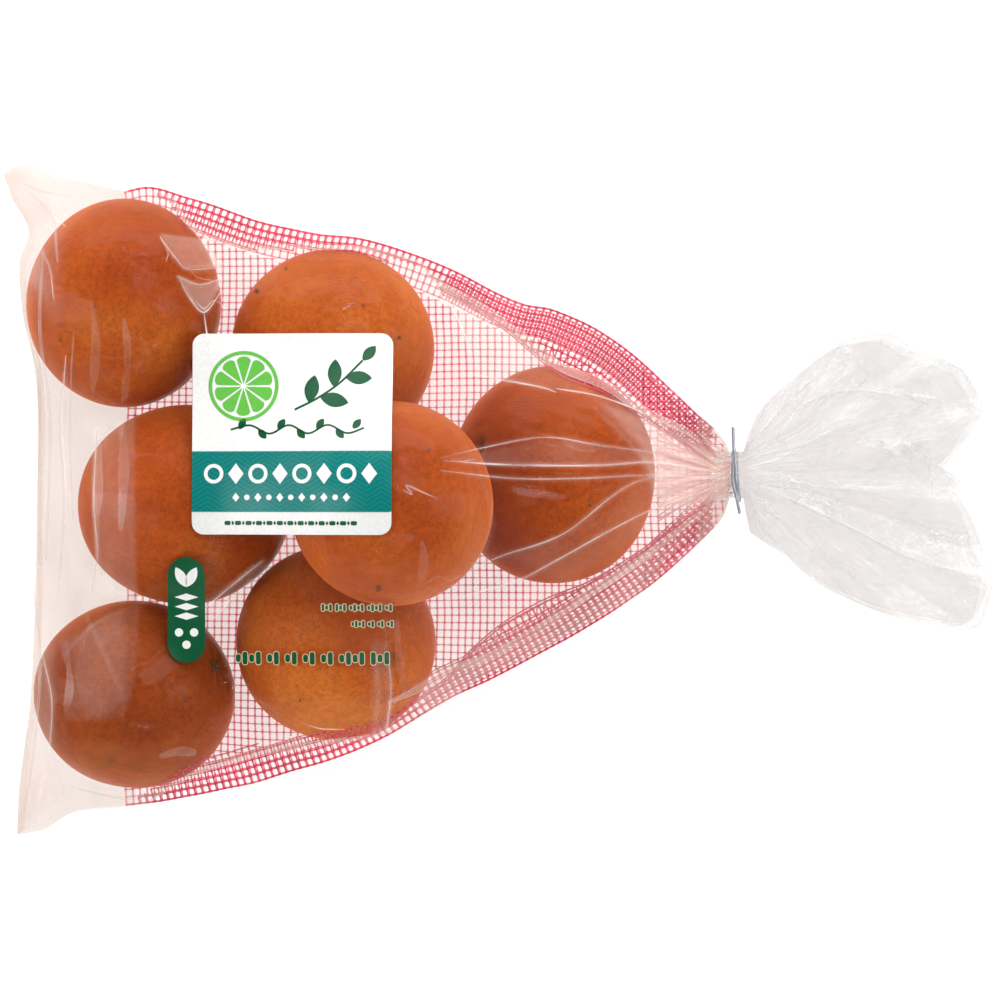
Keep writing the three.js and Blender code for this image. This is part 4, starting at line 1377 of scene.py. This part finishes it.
bottom_row += [lozenge(x, -31.7, 1.1, 1.6) for x in np.arange(-21.1, 22, 3.8)]
big_row = []
for k, x in enumerate(np.arange(-28, 29, 8)):
    big_row += ring(x, -14.2, 2.2, 3.5, 28) if k % 2 == 0 else [lozenge(x, -14.2, 5.6, 7.4)]
small_row = [disc(x, -22.6, 1.0, 16) if k % 2 else lozenge(x, -22.6, 2.6, 3.2) for k, x in
             enumerate(np.arange(-20, 21, 4))]

pill = [rounded(PILL_X, PILL_Y, 13.4, 37.6, 6.6, 14)]
pill_marks = shifted([leaf(0, 8.2, 8, 3.6, 62), leaf(0, 8.2, 8, 3.6, 118)], PILL_X, PILL_Y)
pill_marks += shifted([lozenge(0, y, 8.6, 2.6) for y in (4.6, 1.2, -2.2)], PILL_X, PILL_Y)
pill_marks += shifted([disc(-2.7, -8, 1.5, 20), disc(2.7, -8, 1.5, 20), disc(0, -12.4, 1.5, 20)], PILL_X, PILL_Y)


def dash_row(x_from, x_to, y, height, seed):
    """Short upright dashes in groups, with the pale edge that keeps dark ink clear on dark fruit."""
    (left, middle), (right, _) = from_photo([(x_from, y), (x_to, y)])
    draw = np.random.default_rng(seed)
    dark, pale, x = [], [], left
    width = 0.52 * height
    while x < right - 0.8 * width:
        group = min(int(draw.integers(2, 5)), int((right - x) / width))
        for k in range(group):
            at = x + width * (k + 0.5)
            tall = height if (k + group) % 2 else 0.6 * height
            dark.append(rounded(at, middle, 0.72 * width, tall, 0.3 * width, 4))
            pale.append(rounded(at, middle, 0.72 * width + 0.5, tall + 0.5, 0.3 * width + 0.2, 4))
        x += width * (group + 0.7)
    return dark, pale


rows = [dash_row(321, 394, 607, 2.6, 1), dash_row(351, 394, 623.5, 2.4, 2), dash_row(235, 393, 657.5, 4.6, 3)]
dash_dark = [outline for dark, _ in rows for outline in dark]
dash_pale = [outline for _, pale in rows for outline in pale]

at_panel = (PANEL_X, PANEL_Y)
PRINT = {  # outlines, layer
    "panel_white": (shifted([rounded(0, 0, PANEL, PANEL, 4.2)], *at_panel), 0),
    "band_teal": (shifted([band] + band_teeth, *at_panel), 1),
    "slice_green": (shifted(slice_rim + slice_flesh, *at_panel), 1),
    "sprig_green": (shifted(sprig + sprig_leaves + vine + vine_leaves + bottom_row, *at_panel), 1),
    "band_ornament": (shifted(big_row + small_row, *at_panel), 2),
    "pill_green": (pill, 0),
    "pill_ornament": (pill_marks, 1),
    "dashes_pale": (dash_pale, 0),
    "dashes_green": (dash_dark, 1),
}
for name, (outlines, layer) in PRINT.items():
    pieces[name] = ink_piece(name, outlines, layer)
print("print pieces:", list(PRINT))

# %% [markdown]
# ## Materials
#
# Every finish is a node tree built from one helper that adds a node with its settings and its links. Colours are
# the hex values a painter would pick from a screen and one function turns them to linear light.

# %% Helpers for materials
def colour(code):
    """Linear colour from an sRGB hex code."""
    parts = [int(code[k : k + 2], 16) / 255 for k in (0, 2, 4)]
    return (*[p / 12.92 if p <= 0.04045 else ((p + 0.055) / 1.055) ** 2.4 for p in parts], 1.0)


def start_material(name):
    material = bpy.data.materials.new(name)
    material.use_nodes = True
    material.node_tree.nodes.clear()
    return material, material.node_tree


def add(tree, kind, inputs=(), **settings):
    """A new node. inputs pairs a socket's name or number with a value or with another node's output."""
    node = tree.nodes.new(kind)
    for key, value in settings.items():
        setattr(node, key, value)
    for socket, value in inputs:
        if isinstance(value, bpy.types.NodeSocket):
            tree.links.new(value, node.inputs[socket])
        else:
            node.inputs[socket].default_value = value
    return node


def ramp(tree, factor, stops):
    """A colour ramp through pairs of place and hex code or grey value."""
    node = add(tree, "ShaderNodeValToRGB", [("Fac", factor)])
    elements = node.color_ramp.elements
    while len(elements) < len(stops):
        elements.new(0.5)
    for element, (place, value) in zip(elements, stops):
        element.position = place
        element.color = colour(value) if isinstance(value, str) else (value, value, value, 1)
    return node.outputs["Color"]


def blend(tree, factor, first, second, mode="MIX"):
    """Two colours mixed."""
    node = tree.nodes.new("ShaderNodeMix")
    node.data_type = "RGBA"
    node.blend_type = mode
    for socket, value in ((node.inputs[0], factor), (node.inputs[6], first), (node.inputs[7], second)):
        if isinstance(value, bpy.types.NodeSocket):
            tree.links.new(value, socket)
        else:
            socket.default_value = colour(value) if isinstance(value, str) else value
    return node.outputs[2]


def grained_material(name, scale, detail, stops, settings, relief=0.0):
    """A finish with fine grain in its colour, and also in its surface where relief is more than 0."""
    material, tree = start_material(name)
    place = add(tree, "ShaderNodeTexCoord").outputs["Object"]
    grain = add(tree, "ShaderNodeTexNoise", [("Vector", place), ("Scale", scale), ("Detail", detail)]).outputs["Fac"]
    inputs = [("Base Color", ramp(tree, grain, stops)), *settings]
    if relief:
        bump = add(tree, "ShaderNodeBump", [("Height", grain), ("Strength", relief), ("Distance", 0.0001)])
        inputs.append(("Normal", bump.outputs[0]))
    shader = add(tree, "ShaderNodeBsdfPrincipled", inputs)
    add(tree, "ShaderNodeOutputMaterial", [("Surface", shader.outputs[0])])
    return material


def dress(material, names):
    for name in names:
        slots = pieces[name].data.materials
        slots.clear()
        slots.append(material)


# %% [markdown]
# ### Orange peel
#
# Peel is a waxy skin over oil glands, so it has a broad soft shine with thousands of pits about 1.3 mm apart in it.
# Cells of a Voronoi pattern at that spacing give the pits. The colour is never even: warm yellow-orange where the
# sun was, redder in the shade, with small russet marks. The sixth fruit is a browner, rougher one. Skin seen at a
# slant is a little paler, which the Principled shader's sheen gives.

# %% Peel
# Patterns for each metre: a cloud in 45 mm, a scar in 22 mm, a lump in 8 mm, grain in 2.4 mm and a pore in 1.3 mm
PEEL_CLOUDS, PEEL_SCARS, PEEL_LUMPS, PEEL_GRAIN, PEEL_PORES = 22.0, 46.0, 130.0, 420.0, 760.0


def peel_material(name, light, middle, deep, russet):
    """Peel from its lightest to its deepest colour. russet is the share of corky brown marks."""
    material, tree = start_material(name)
    place = add(tree, "ShaderNodeTexCoord").outputs["Object"]
    clouds = add(tree, "ShaderNodeTexNoise", [("Vector", place), ("Scale", PEEL_CLOUDS), ("Detail", 3.0)])
    tone = ramp(tree, clouds.outputs["Fac"], [(0.22, deep), (0.5, middle), (0.78, light)])
    fine = add(tree, "ShaderNodeTexNoise", [("Vector", place), ("Scale", PEEL_GRAIN), ("Detail", 2.0)])
    grain = ramp(tree, fine.outputs["Fac"], [(0.35, 0.88), (0.65, 1.08)])
    tone = blend(tree, 1.0, tone, grain, "MULTIPLY")
    pores = add(tree, "ShaderNodeTexVoronoi", [("Vector", place), ("Scale", PEEL_PORES)])
    pit = ramp(tree, pores.outputs["Distance"], [(0.0, 0.0), (0.34, 0.75), (0.6, 1.0)])
    tone = blend(tree, 0.35, tone, blend(tree, 1.0, tone, pit, "MULTIPLY"))
    patches = add(tree, "ShaderNodeTexNoise", [
        ("Vector", place), ("Scale", PEEL_SCARS), ("Detail", 3.0), ("Roughness", 0.7),
    ])
    scars = ramp(tree, patches.outputs["Fac"], [(0.66 - 0.14 * russet, 0.0), (0.76 - 0.12 * russet, 1.0)])
    weight = add(tree, "ShaderNodeMath", [(0, scars), (1, 0.25 + 0.4 * russet)], operation="MULTIPLY").outputs[0]
    tone = blend(tree, weight, tone, "7A4322")
    end = add(tree, "ShaderNodeAttribute", attribute_name="end").outputs["Fac"]
    browned = add(tree, "ShaderNodeMath", [(0, end), (1, 0.65)], operation="MULTIPLY").outputs[0]
    tone = blend(tree, browned, tone, "6E3A18")
    lumps = add(tree, "ShaderNodeTexNoise", [("Vector", place), ("Scale", PEEL_LUMPS), ("Detail", 2.0)])
    broad = add(tree, "ShaderNodeBump", [("Height", lumps.outputs["Fac"]), ("Strength", 0.35), ("Distance", 0.0012)])
    bump = add(tree, "ShaderNodeBump", [("Height", pit), ("Strength", 0.5), ("Distance", 0.00025),
                                        ("Normal", broad.outputs[0])])
    rough = add(tree, "ShaderNodeMapRange", [("Value", clouds.outputs["Fac"]), ("To Min", 0.38), ("To Max", 0.5)])
    shader = add(tree, "ShaderNodeBsdfPrincipled", [
        ("Base Color", tone), ("Roughness", rough.outputs[0]), ("IOR", 1.45), ("Normal", bump.outputs[0]),
        ("Specular IOR Level", 0.1), ("Sheen Weight", 0.7), ("Sheen Roughness", 0.45),
        ("Sheen Tint", colour("FF9256")),
    ])
    add(tree, "ShaderNodeOutputMaterial", [("Surface", shader.outputs[0])])
    return material


peel = peel_material("waxy_orange_peel", "D67E30", "C05F20", "A64414", 0.0)
peel_deep = peel_material("waxy_orange_peel_deep", "CE742A", "B3511A", "963610", 0.1)
peel_russet = peel_material("russeted_orange_peel", "B4601E", "984416", "7A2E10", 0.8)
# Which fruit takes which peel is partly each one's own tone and partly painted light: the fourth, on top in the most
# light, takes the deeper peel, and the seventh, in the fourth's shadow, the lighter one.
dress(peel, ["orange_2", "orange_7"])
dress(peel_deep, ["orange_1", "orange_3", "orange_4", "orange_5"])
dress(peel_russet, ["orange_6"])

calyx = grained_material("dry_calyx", 900.0, 3.0, [(0.35, "4A331C"), (0.7, "8A6A3C")], [("Roughness", 0.85)])
speck = grained_material("corky_speck", 1500.0, 2.0, [(0.4, "5A2E16"), (0.6, "86421C")], [("Roughness", 0.8)])
dress(calyx, ["stem_buttons"])
dress(speck, ["peel_specks"])
print("peel materials made")

# %% [markdown]
# ### Film
#
# Blown polyethylene film is almost clear. Three things make it visible: the crisp reflection of lights in its folds,
# the little light that it takes away, and the milkiness where it is creased or doubled. So the shader is a mix of
# three: clear, a milky Principled shader in the share of the haze_and_shine attribute, and a gloss that Fresnel
# brings in. That attribute also carries painted highlights along creases and crinkles, painted reflections of bent
# film, and on the loose film painted shade in its pleats. The light passes in straight lines, because a sheet this
# thin doesn't bend it.

# %% Film
# Patterns for each metre: a swell in 14 mm, a facet of crumpled film in 9 mm, and a soft crease in 11 mm
FILM_SWELLS, FILM_FACETS, FILM_CREASES = 70.0, 110.0, 90.0


def film_material(name, tint, milk, dense=None, floor=0.0, waves=0.12, gloss=0.06, shine_share=0.12, facets=False):
    """Clear film: tint is what it lets through, milk and dense are what haze adds. Facets are for crumpled film."""
    material, tree = start_material(name)
    place = add(tree, "ShaderNodeTexCoord").outputs["Object"]
    swell = add(tree, "ShaderNodeTexNoise", [("Vector", place), ("Scale", FILM_SWELLS), ("Detail", 2.0)])
    first = add(tree, "ShaderNodeBump", [("Height", swell.outputs["Fac"]), ("Strength", waves), ("Distance", 0.003)])
    if facets:
        crease = add(tree, "ShaderNodeTexVoronoi", [("Vector", place), ("Scale", FILM_FACETS)],
                     feature="DISTANCE_TO_EDGE")
        edge = add(tree, "ShaderNodeMapRange", [("Value", crease.outputs["Distance"]), ("From Max", 0.12)]).outputs[0]
    else:
        crease = add(tree, "ShaderNodeTexNoise", [("Vector", place), ("Scale", FILM_CREASES), ("Detail", 1.0)])
        edge = ramp(tree, crease.outputs["Fac"], [(0.42, 1.0), (0.5, 0.0), (0.58, 1.0)])
    bump = add(tree, "ShaderNodeBump", [("Height", edge), ("Strength", 0.3), ("Distance", 0.0004),
                                        ("Normal", first.outputs[0])])
    haze_and_shine = add(tree, "ShaderNodeAttribute", attribute_name="haze_and_shine").outputs["Fac"]
    scaled = add(tree, "ShaderNodeMath", [(0, haze_and_shine), (1, floor)], operation="ADD")
    clear = add(tree, "ShaderNodeBsdfTransparent", [("Color", colour(tint))])
    milky = add(tree, "ShaderNodeBsdfPrincipled", [
        ("Base Color", ramp(tree, haze_and_shine, [(0.3, milk), (0.65, dense or milk)])), ("Roughness", 0.35), ("IOR", 1.5),
        ("Normal", bump.outputs[0]),
    ])
    body = add(tree, "ShaderNodeMixShader", [(0, scaled.outputs[0]), (1, clear.outputs[0]), (2, milky.outputs[0])])
    shine = add(tree, "ShaderNodeBsdfGlossy", [("Color", (1, 1, 1, 1)), ("Roughness", gloss),
                                               ("Normal", bump.outputs[0])])
    mirror = add(tree, "ShaderNodeFresnel", [("IOR", 1.5), ("Normal", bump.outputs[0])])
    share = add(tree, "ShaderNodeMath", [(0, mirror.outputs[0]), (1, shine_share)], operation="MULTIPLY")
    surface = add(tree, "ShaderNodeMixShader", [(0, share.outputs[0]), (1, body.outputs[0]), (2, shine.outputs[0])])
    add(tree, "ShaderNodeOutputMaterial", [("Surface", surface.outputs[0])])
    return material


front = film_material("blown_polyethylene_film", "F6F2EF", "E0D2C9", dense="E0C0B6")
doubled = film_material("doubled_polyethylene_film", "FAF0EC", "E8D0C8", floor=0.03)
pleat_reflection_film = film_material("pleated_film_painted_reflections", "F6F2F0", "E6DED9")
# White crease strips, painted glints and painted shine.
crease_and_glint_film = film_material("creased_film_and_painted_glints", "FFFFFF", "FFF8F4")
# The milk of the loose film is a light grey; through the haze it paints shade in the pleats by the neck, and
# highlights on crests and crinkles.
loose = dict(waves=0.3, gloss=0.05, shine_share=0.45)
crumpled = film_material("crumpled_polyethylene_film", "F4F3F1", "EEEFF0", facets=True, **loose)
slack = film_material("slack_polyethylene_film", "F8F7F7", "EAE9EA", **loose)
dress(front, ["front_film", "back_film", "heat_seal", "shoulder_top", "shoulder_bottom"])
dress(doubled, ["far_seam", "near_seam", "far_weld", "near_weld"])
dress(pleat_reflection_film, ["end_pleats_and_reflections"])
dress(crease_and_glint_film, ["film_creases_and_glints"])
dress(crumpled, ["tail_top"])
dress(slack, ["neck_film", "tail_upper", "tail_lower", "tail_bottom"])
# Clear film throws next to no shadow, and leaving it out saves a fifth of the render's time. Only the top sheet of
# the loose film keeps its shadow, because that is what sets it off from a white table.
for name in ("front_film", "back_film", "heat_seal", "shoulder_top", "shoulder_bottom", "neck_film", "tail_upper",
             "tail_lower", "tail_bottom", "film_creases_and_glints", "end_pleats_and_reflections"):
    pieces[name].visible_shadow = False
print("film materials made")

# %% [markdown]
# ### Net, ink and wire
#
# The net is high-density polyethylene tape, dyed pink-red in the melt: satin, a little lighter where the tape is
# stretched thin and darker at the knots. On the back, between the fruit, the same tape is painted much paler, painted
# light for the shaded gaps. The inks lie on the film, so they take its soft gloss. The wire is steel with a zinc
# skin, dull grey-blue with the fine lengthwise marks of the die that it was drawn through.

# %% Net, ink and wire
def tape_material(name, thin, knot_tone, glow):
    material, tree = start_material(name)
    place = add(tree, "ShaderNodeTexCoord").outputs["Object"]
    stretch = add(tree, "ShaderNodeTexNoise", [("Vector", place), ("Scale", 60.0), ("Detail", 2.0)])
    tone = blend(tree, add(tree, "ShaderNodeAttribute", attribute_name="knot").outputs["Fac"], thin, knot_tone)
    light = ramp(tree, stretch.outputs["Fac"], [(0.3, 0.9), (0.7, 1.1)])
    tone = blend(tree, 1.0, tone, light, "MULTIPLY")
    fibre = add(tree, "ShaderNodeTexNoise", [("Vector", place), ("Scale", 2500.0)])
    bump = add(tree, "ShaderNodeBump", [("Height", fibre.outputs["Fac"]), ("Strength", 0.3), ("Distance", 0.0001)])
    shader = add(tree, "ShaderNodeBsdfPrincipled", [
        ("Base Color", tone), ("Roughness", 0.42), ("IOR", 1.54), ("Normal", bump.outputs[0]),
    ])
    through = add(tree, "ShaderNodeBsdfTranslucent", [("Color", tone)])
    tape = add(tree, "ShaderNodeMixShader", [(0, glow), (1, shader.outputs[0]), (2, through.outputs[0])])
    add(tree, "ShaderNodeOutputMaterial", [("Surface", tape.outputs[0])])
    return material


HERRINGBONE_COLUMN, HERRINGBONE_RISE, HERRINGBONE_ROW = 0.0052, 0.0032, 0.0017  # in metres


def ink_material(name, tone, second=None):
    """Printed ink; with a second colour it carries a fine herringbone."""
    material, tree = start_material(name)
    place = add(tree, "ShaderNodeTexCoord").outputs["Object"]
    mottle = add(tree, "ShaderNodeTexNoise", [("Vector", place), ("Scale", 900.0), ("Detail", 2.0)])
    if second:
        split = add(tree, "ShaderNodeSeparateXYZ", [(0, place)])
        column = add(tree, "ShaderNodeMath", [(0, split.outputs[0]), (1, 1 / HERRINGBONE_COLUMN)],
                     operation="MULTIPLY")
        zigzag = add(tree, "ShaderNodeMath", [(0, column.outputs[0]), (1, 1.0)], operation="PINGPONG")
        rise = add(tree, "ShaderNodeMath", [(0, zigzag.outputs[0]), (1, HERRINGBONE_RISE)], operation="MULTIPLY")
        height = add(tree, "ShaderNodeMath", [(0, split.outputs[1]), (1, rise.outputs[0])], operation="ADD")
        rows_at = add(tree, "ShaderNodeMath", [(0, height.outputs[0]), (1, 2 * math.pi / HERRINGBONE_ROW)],
                      operation="MULTIPLY")
        stripe = add(tree, "ShaderNodeMath", [(0, rows_at.outputs[0])], operation="SINE")
        share = add(tree, "ShaderNodeMath", [(0, stripe.outputs[0]), (1, 0.5), (2, 0.5)], operation="MULTIPLY_ADD")
        tone = blend(tree, share.outputs[0], tone, second)
    else:
        tone = blend(tree, 0.0, tone, tone)
    tone = blend(tree, 1.0, tone, ramp(tree, mottle.outputs["Fac"], [(0.35, 0.95), (0.65, 1.03)]), "MULTIPLY")
    bump = add(tree, "ShaderNodeBump", [("Height", mottle.outputs["Fac"]), ("Strength", 0.1), ("Distance", 0.0001)])
    shader = add(tree, "ShaderNodeBsdfPrincipled", [
        ("Base Color", tone), ("Roughness", 0.32), ("IOR", 1.5), ("Normal", bump.outputs[0]),
        ("Specular IOR Level", 0.2),
    ])
    add(tree, "ShaderNodeOutputMaterial", [("Surface", shader.outputs[0])])
    return material


dress(tape_material("dyed_polyethylene_tape", "FF9EB2", "EE6080", 0.7), ["far_net", "near_net"])
# The back net is the same tape painted much paler, painted light for the shaded gaps between the fruit, where it is
# also stretched thin.
dress(tape_material("stretched_tape_painted_light", "FFCCD6", "FFACBC", 0.8), ["back_net", "neck_net"])
dress(ink_material("white_flexo_ink", "E8E8E6"), ["panel_white", "band_ornament", "pill_ornament"])
dress(ink_material("teal_flexo_ink", "007E78", "006C68"), ["band_teal"])
dress(ink_material("leaf_green_ink", "62B646"), ["slice_green"])
dress(ink_material("dark_green_ink", "00502E"), ["sprig_green", "pill_green", "dashes_green"])
dress(ink_material("pale_keyline_ink", "E3C9A4"), ["dashes_pale"])

steel = grained_material("galvanised_steel_wire", 700.0, 4.0, [(0.3, "8C96A4"), (0.7, "B8BEC8")],
                         [("Metallic", 1.0), ("Roughness", 0.42)], relief=0.3)
dress(steel, ["wire"])
print("materials:", len(bpy.data.materials))

# %% [markdown]
# ## Floor, light and camera
#
# The bag was photographed from straight above on white, with soft light from all round. A table that glows as white
# as paper, one large soft light above and to the right, four wide ones round the sides and a bright room give that.
# Long narrow lights add what makes film look like film: thin crisp lines along its folds.

# %% Floor
bpy.ops.object.select_all(action="DESELECT")
bpy.ops.mesh.primitive_plane_add(size=6.0)
floor = bpy.context.object
floor.name = floor.data.name = "floor"
paper, tree = start_material("lit_opal_table")
shader = add(tree, "ShaderNodeBsdfPrincipled", [
    ("Base Color", colour("B4B4B4")), ("Roughness", 0.9), ("Specular IOR Level", 0.1),
    ("Emission Color", (1, 1, 1, 1)), ("Emission Strength", 0.72),
])
add(tree, "ShaderNodeOutputMaterial", [("Surface", shader.outputs[0])])
paper.cycles.emission_sampling = "NONE"
floor.data.materials.append(paper)

# %% Light
def soft_light(name, place, width, height, power, warmth="FFFFFF"):
    data = bpy.data.lights.new(name, "AREA")
    data.shape = "RECTANGLE"
    data.size, data.size_y = width, height
    data.energy = power
    data.color = colour(warmth)[:3]
    lamp = bpy.data.objects.new(name, data)
    lamp.location = place
    lamp.rotation_euler = Vector(place).to_track_quat("Z", "Y").to_euler()
    bpy.context.collection.objects.link(lamp)
    return lamp


SHARE_OF_ROOM = 0.36
LIGHT_BAND = 0.36  # height of the four wide lights round the table
soft_light("overhead", (0.55, 0.75, 1.5), 0.7, 0.7, 7.1)
soft_light("fill", (-1.1, -0.6, 1.3), 0.6, 0.6, 2.5)
for name, place, width, length, power in (
    ("wall_far", (0, 1.6, LIGHT_BAND), 2.6, 0.7, 20), ("wall_near", (0, -1.6, LIGHT_BAND), 2.6, 0.7, 9),
    ("wall_left", (-1.7, 0, LIGHT_BAND), 0.7, 2.4, 22), ("wall_right", (1.7, 0, LIGHT_BAND), 0.7, 2.4, 12),
):
    soft_light(name, place, width, length, power)
soft_light("strip_far", (0.0, 1.3, 1.0), 1.8, 0.03, 4.2)
soft_light("strip_right", (1.4, 0.1, 0.9), 0.03, 1.4, 3.2)
soft_light("strip_near", (0.3, -1.3, 1.6), 1.2, 0.03, 3.0)

world = bpy.data.worlds.new("bright_room")
world.use_nodes = True
world.node_tree.nodes["Background"].inputs["Color"].default_value = (1, 1, 1, 1)
world.node_tree.nodes["Background"].inputs["Strength"].default_value = SHARE_OF_ROOM
bpy.context.scene.world = world
bpy.context.scene.view_settings.view_transform = "Standard"
bpy.context.scene.view_settings.look = "None"
cycles = bpy.context.scene.cycles  # enough bounces for light to pass all sheets of film, and few others
cycles.transparent_max_bounces = 16
cycles.use_light_tree = False
cycles.max_bounces, cycles.diffuse_bounces, cycles.glossy_bounces, cycles.transmission_bounces = 4, 3, 2, 3

# %% Camera
SENSOR = 36.0
camera_data = bpy.data.cameras.new("camera")
camera_data.sensor_width = camera_data.sensor_height = SENSOR
camera_data.lens = SENSOR * CAMERA_HEIGHT / (PIXEL * 1000)
camera_data.clip_end = 20
camera = bpy.data.objects.new("camera", camera_data)
camera.location = (0, 0, (CAMERA_HEIGHT + SEAM_HEIGHT) * MM)
bpy.context.collection.objects.link(camera)
bpy.context.scene.camera = camera
print("lens", round(camera_data.lens, 1), "mm")

# %% [markdown]
# ## Bodies and slots
#
# The bag has no joint, so every piece rides on its one body. The wire stands for the imported wire and all else for
# the imported bag. The pieces are listed by the slot of the record that their finish belongs to.

# %% Ride, replace, slots and size
SLOTS = {
    "clear_film": ["front_film", "back_film", "heat_seal", "far_seam", "near_seam", "far_weld", "near_weld",
                   "end_pleats_and_reflections", "film_creases_and_glints", "neck_film", "shoulder_top", "shoulder_bottom", *TAIL_SHEETS],
    "mesh_yarn": ["back_net", "far_net", "near_net", "neck_net"],
    "peel": [f"orange_{k}" for k in range(1, 8)] + ["stem_buttons", "peel_specks"],
    "white_print": ["panel_white", "band_ornament", "pill_ornament", "dashes_pale"],
    "green_print": ["band_teal", "slice_green", "sprig_green", "pill_green", "dashes_green"],
    "tie_wire": ["wire"],
}
for slot, names in SLOTS.items():
    for name in names:
        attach(pieces[name], "root")
        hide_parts("wire_tie" if slot == "tie_wire" else "bag")
assert set(pieces) == {name for names in SLOTS.values() for name in names}
triangles = sum(len(p.data.polygons) * 2 for p in pieces.values())
print(len(pieces), "pieces,", triangles, "triangles")
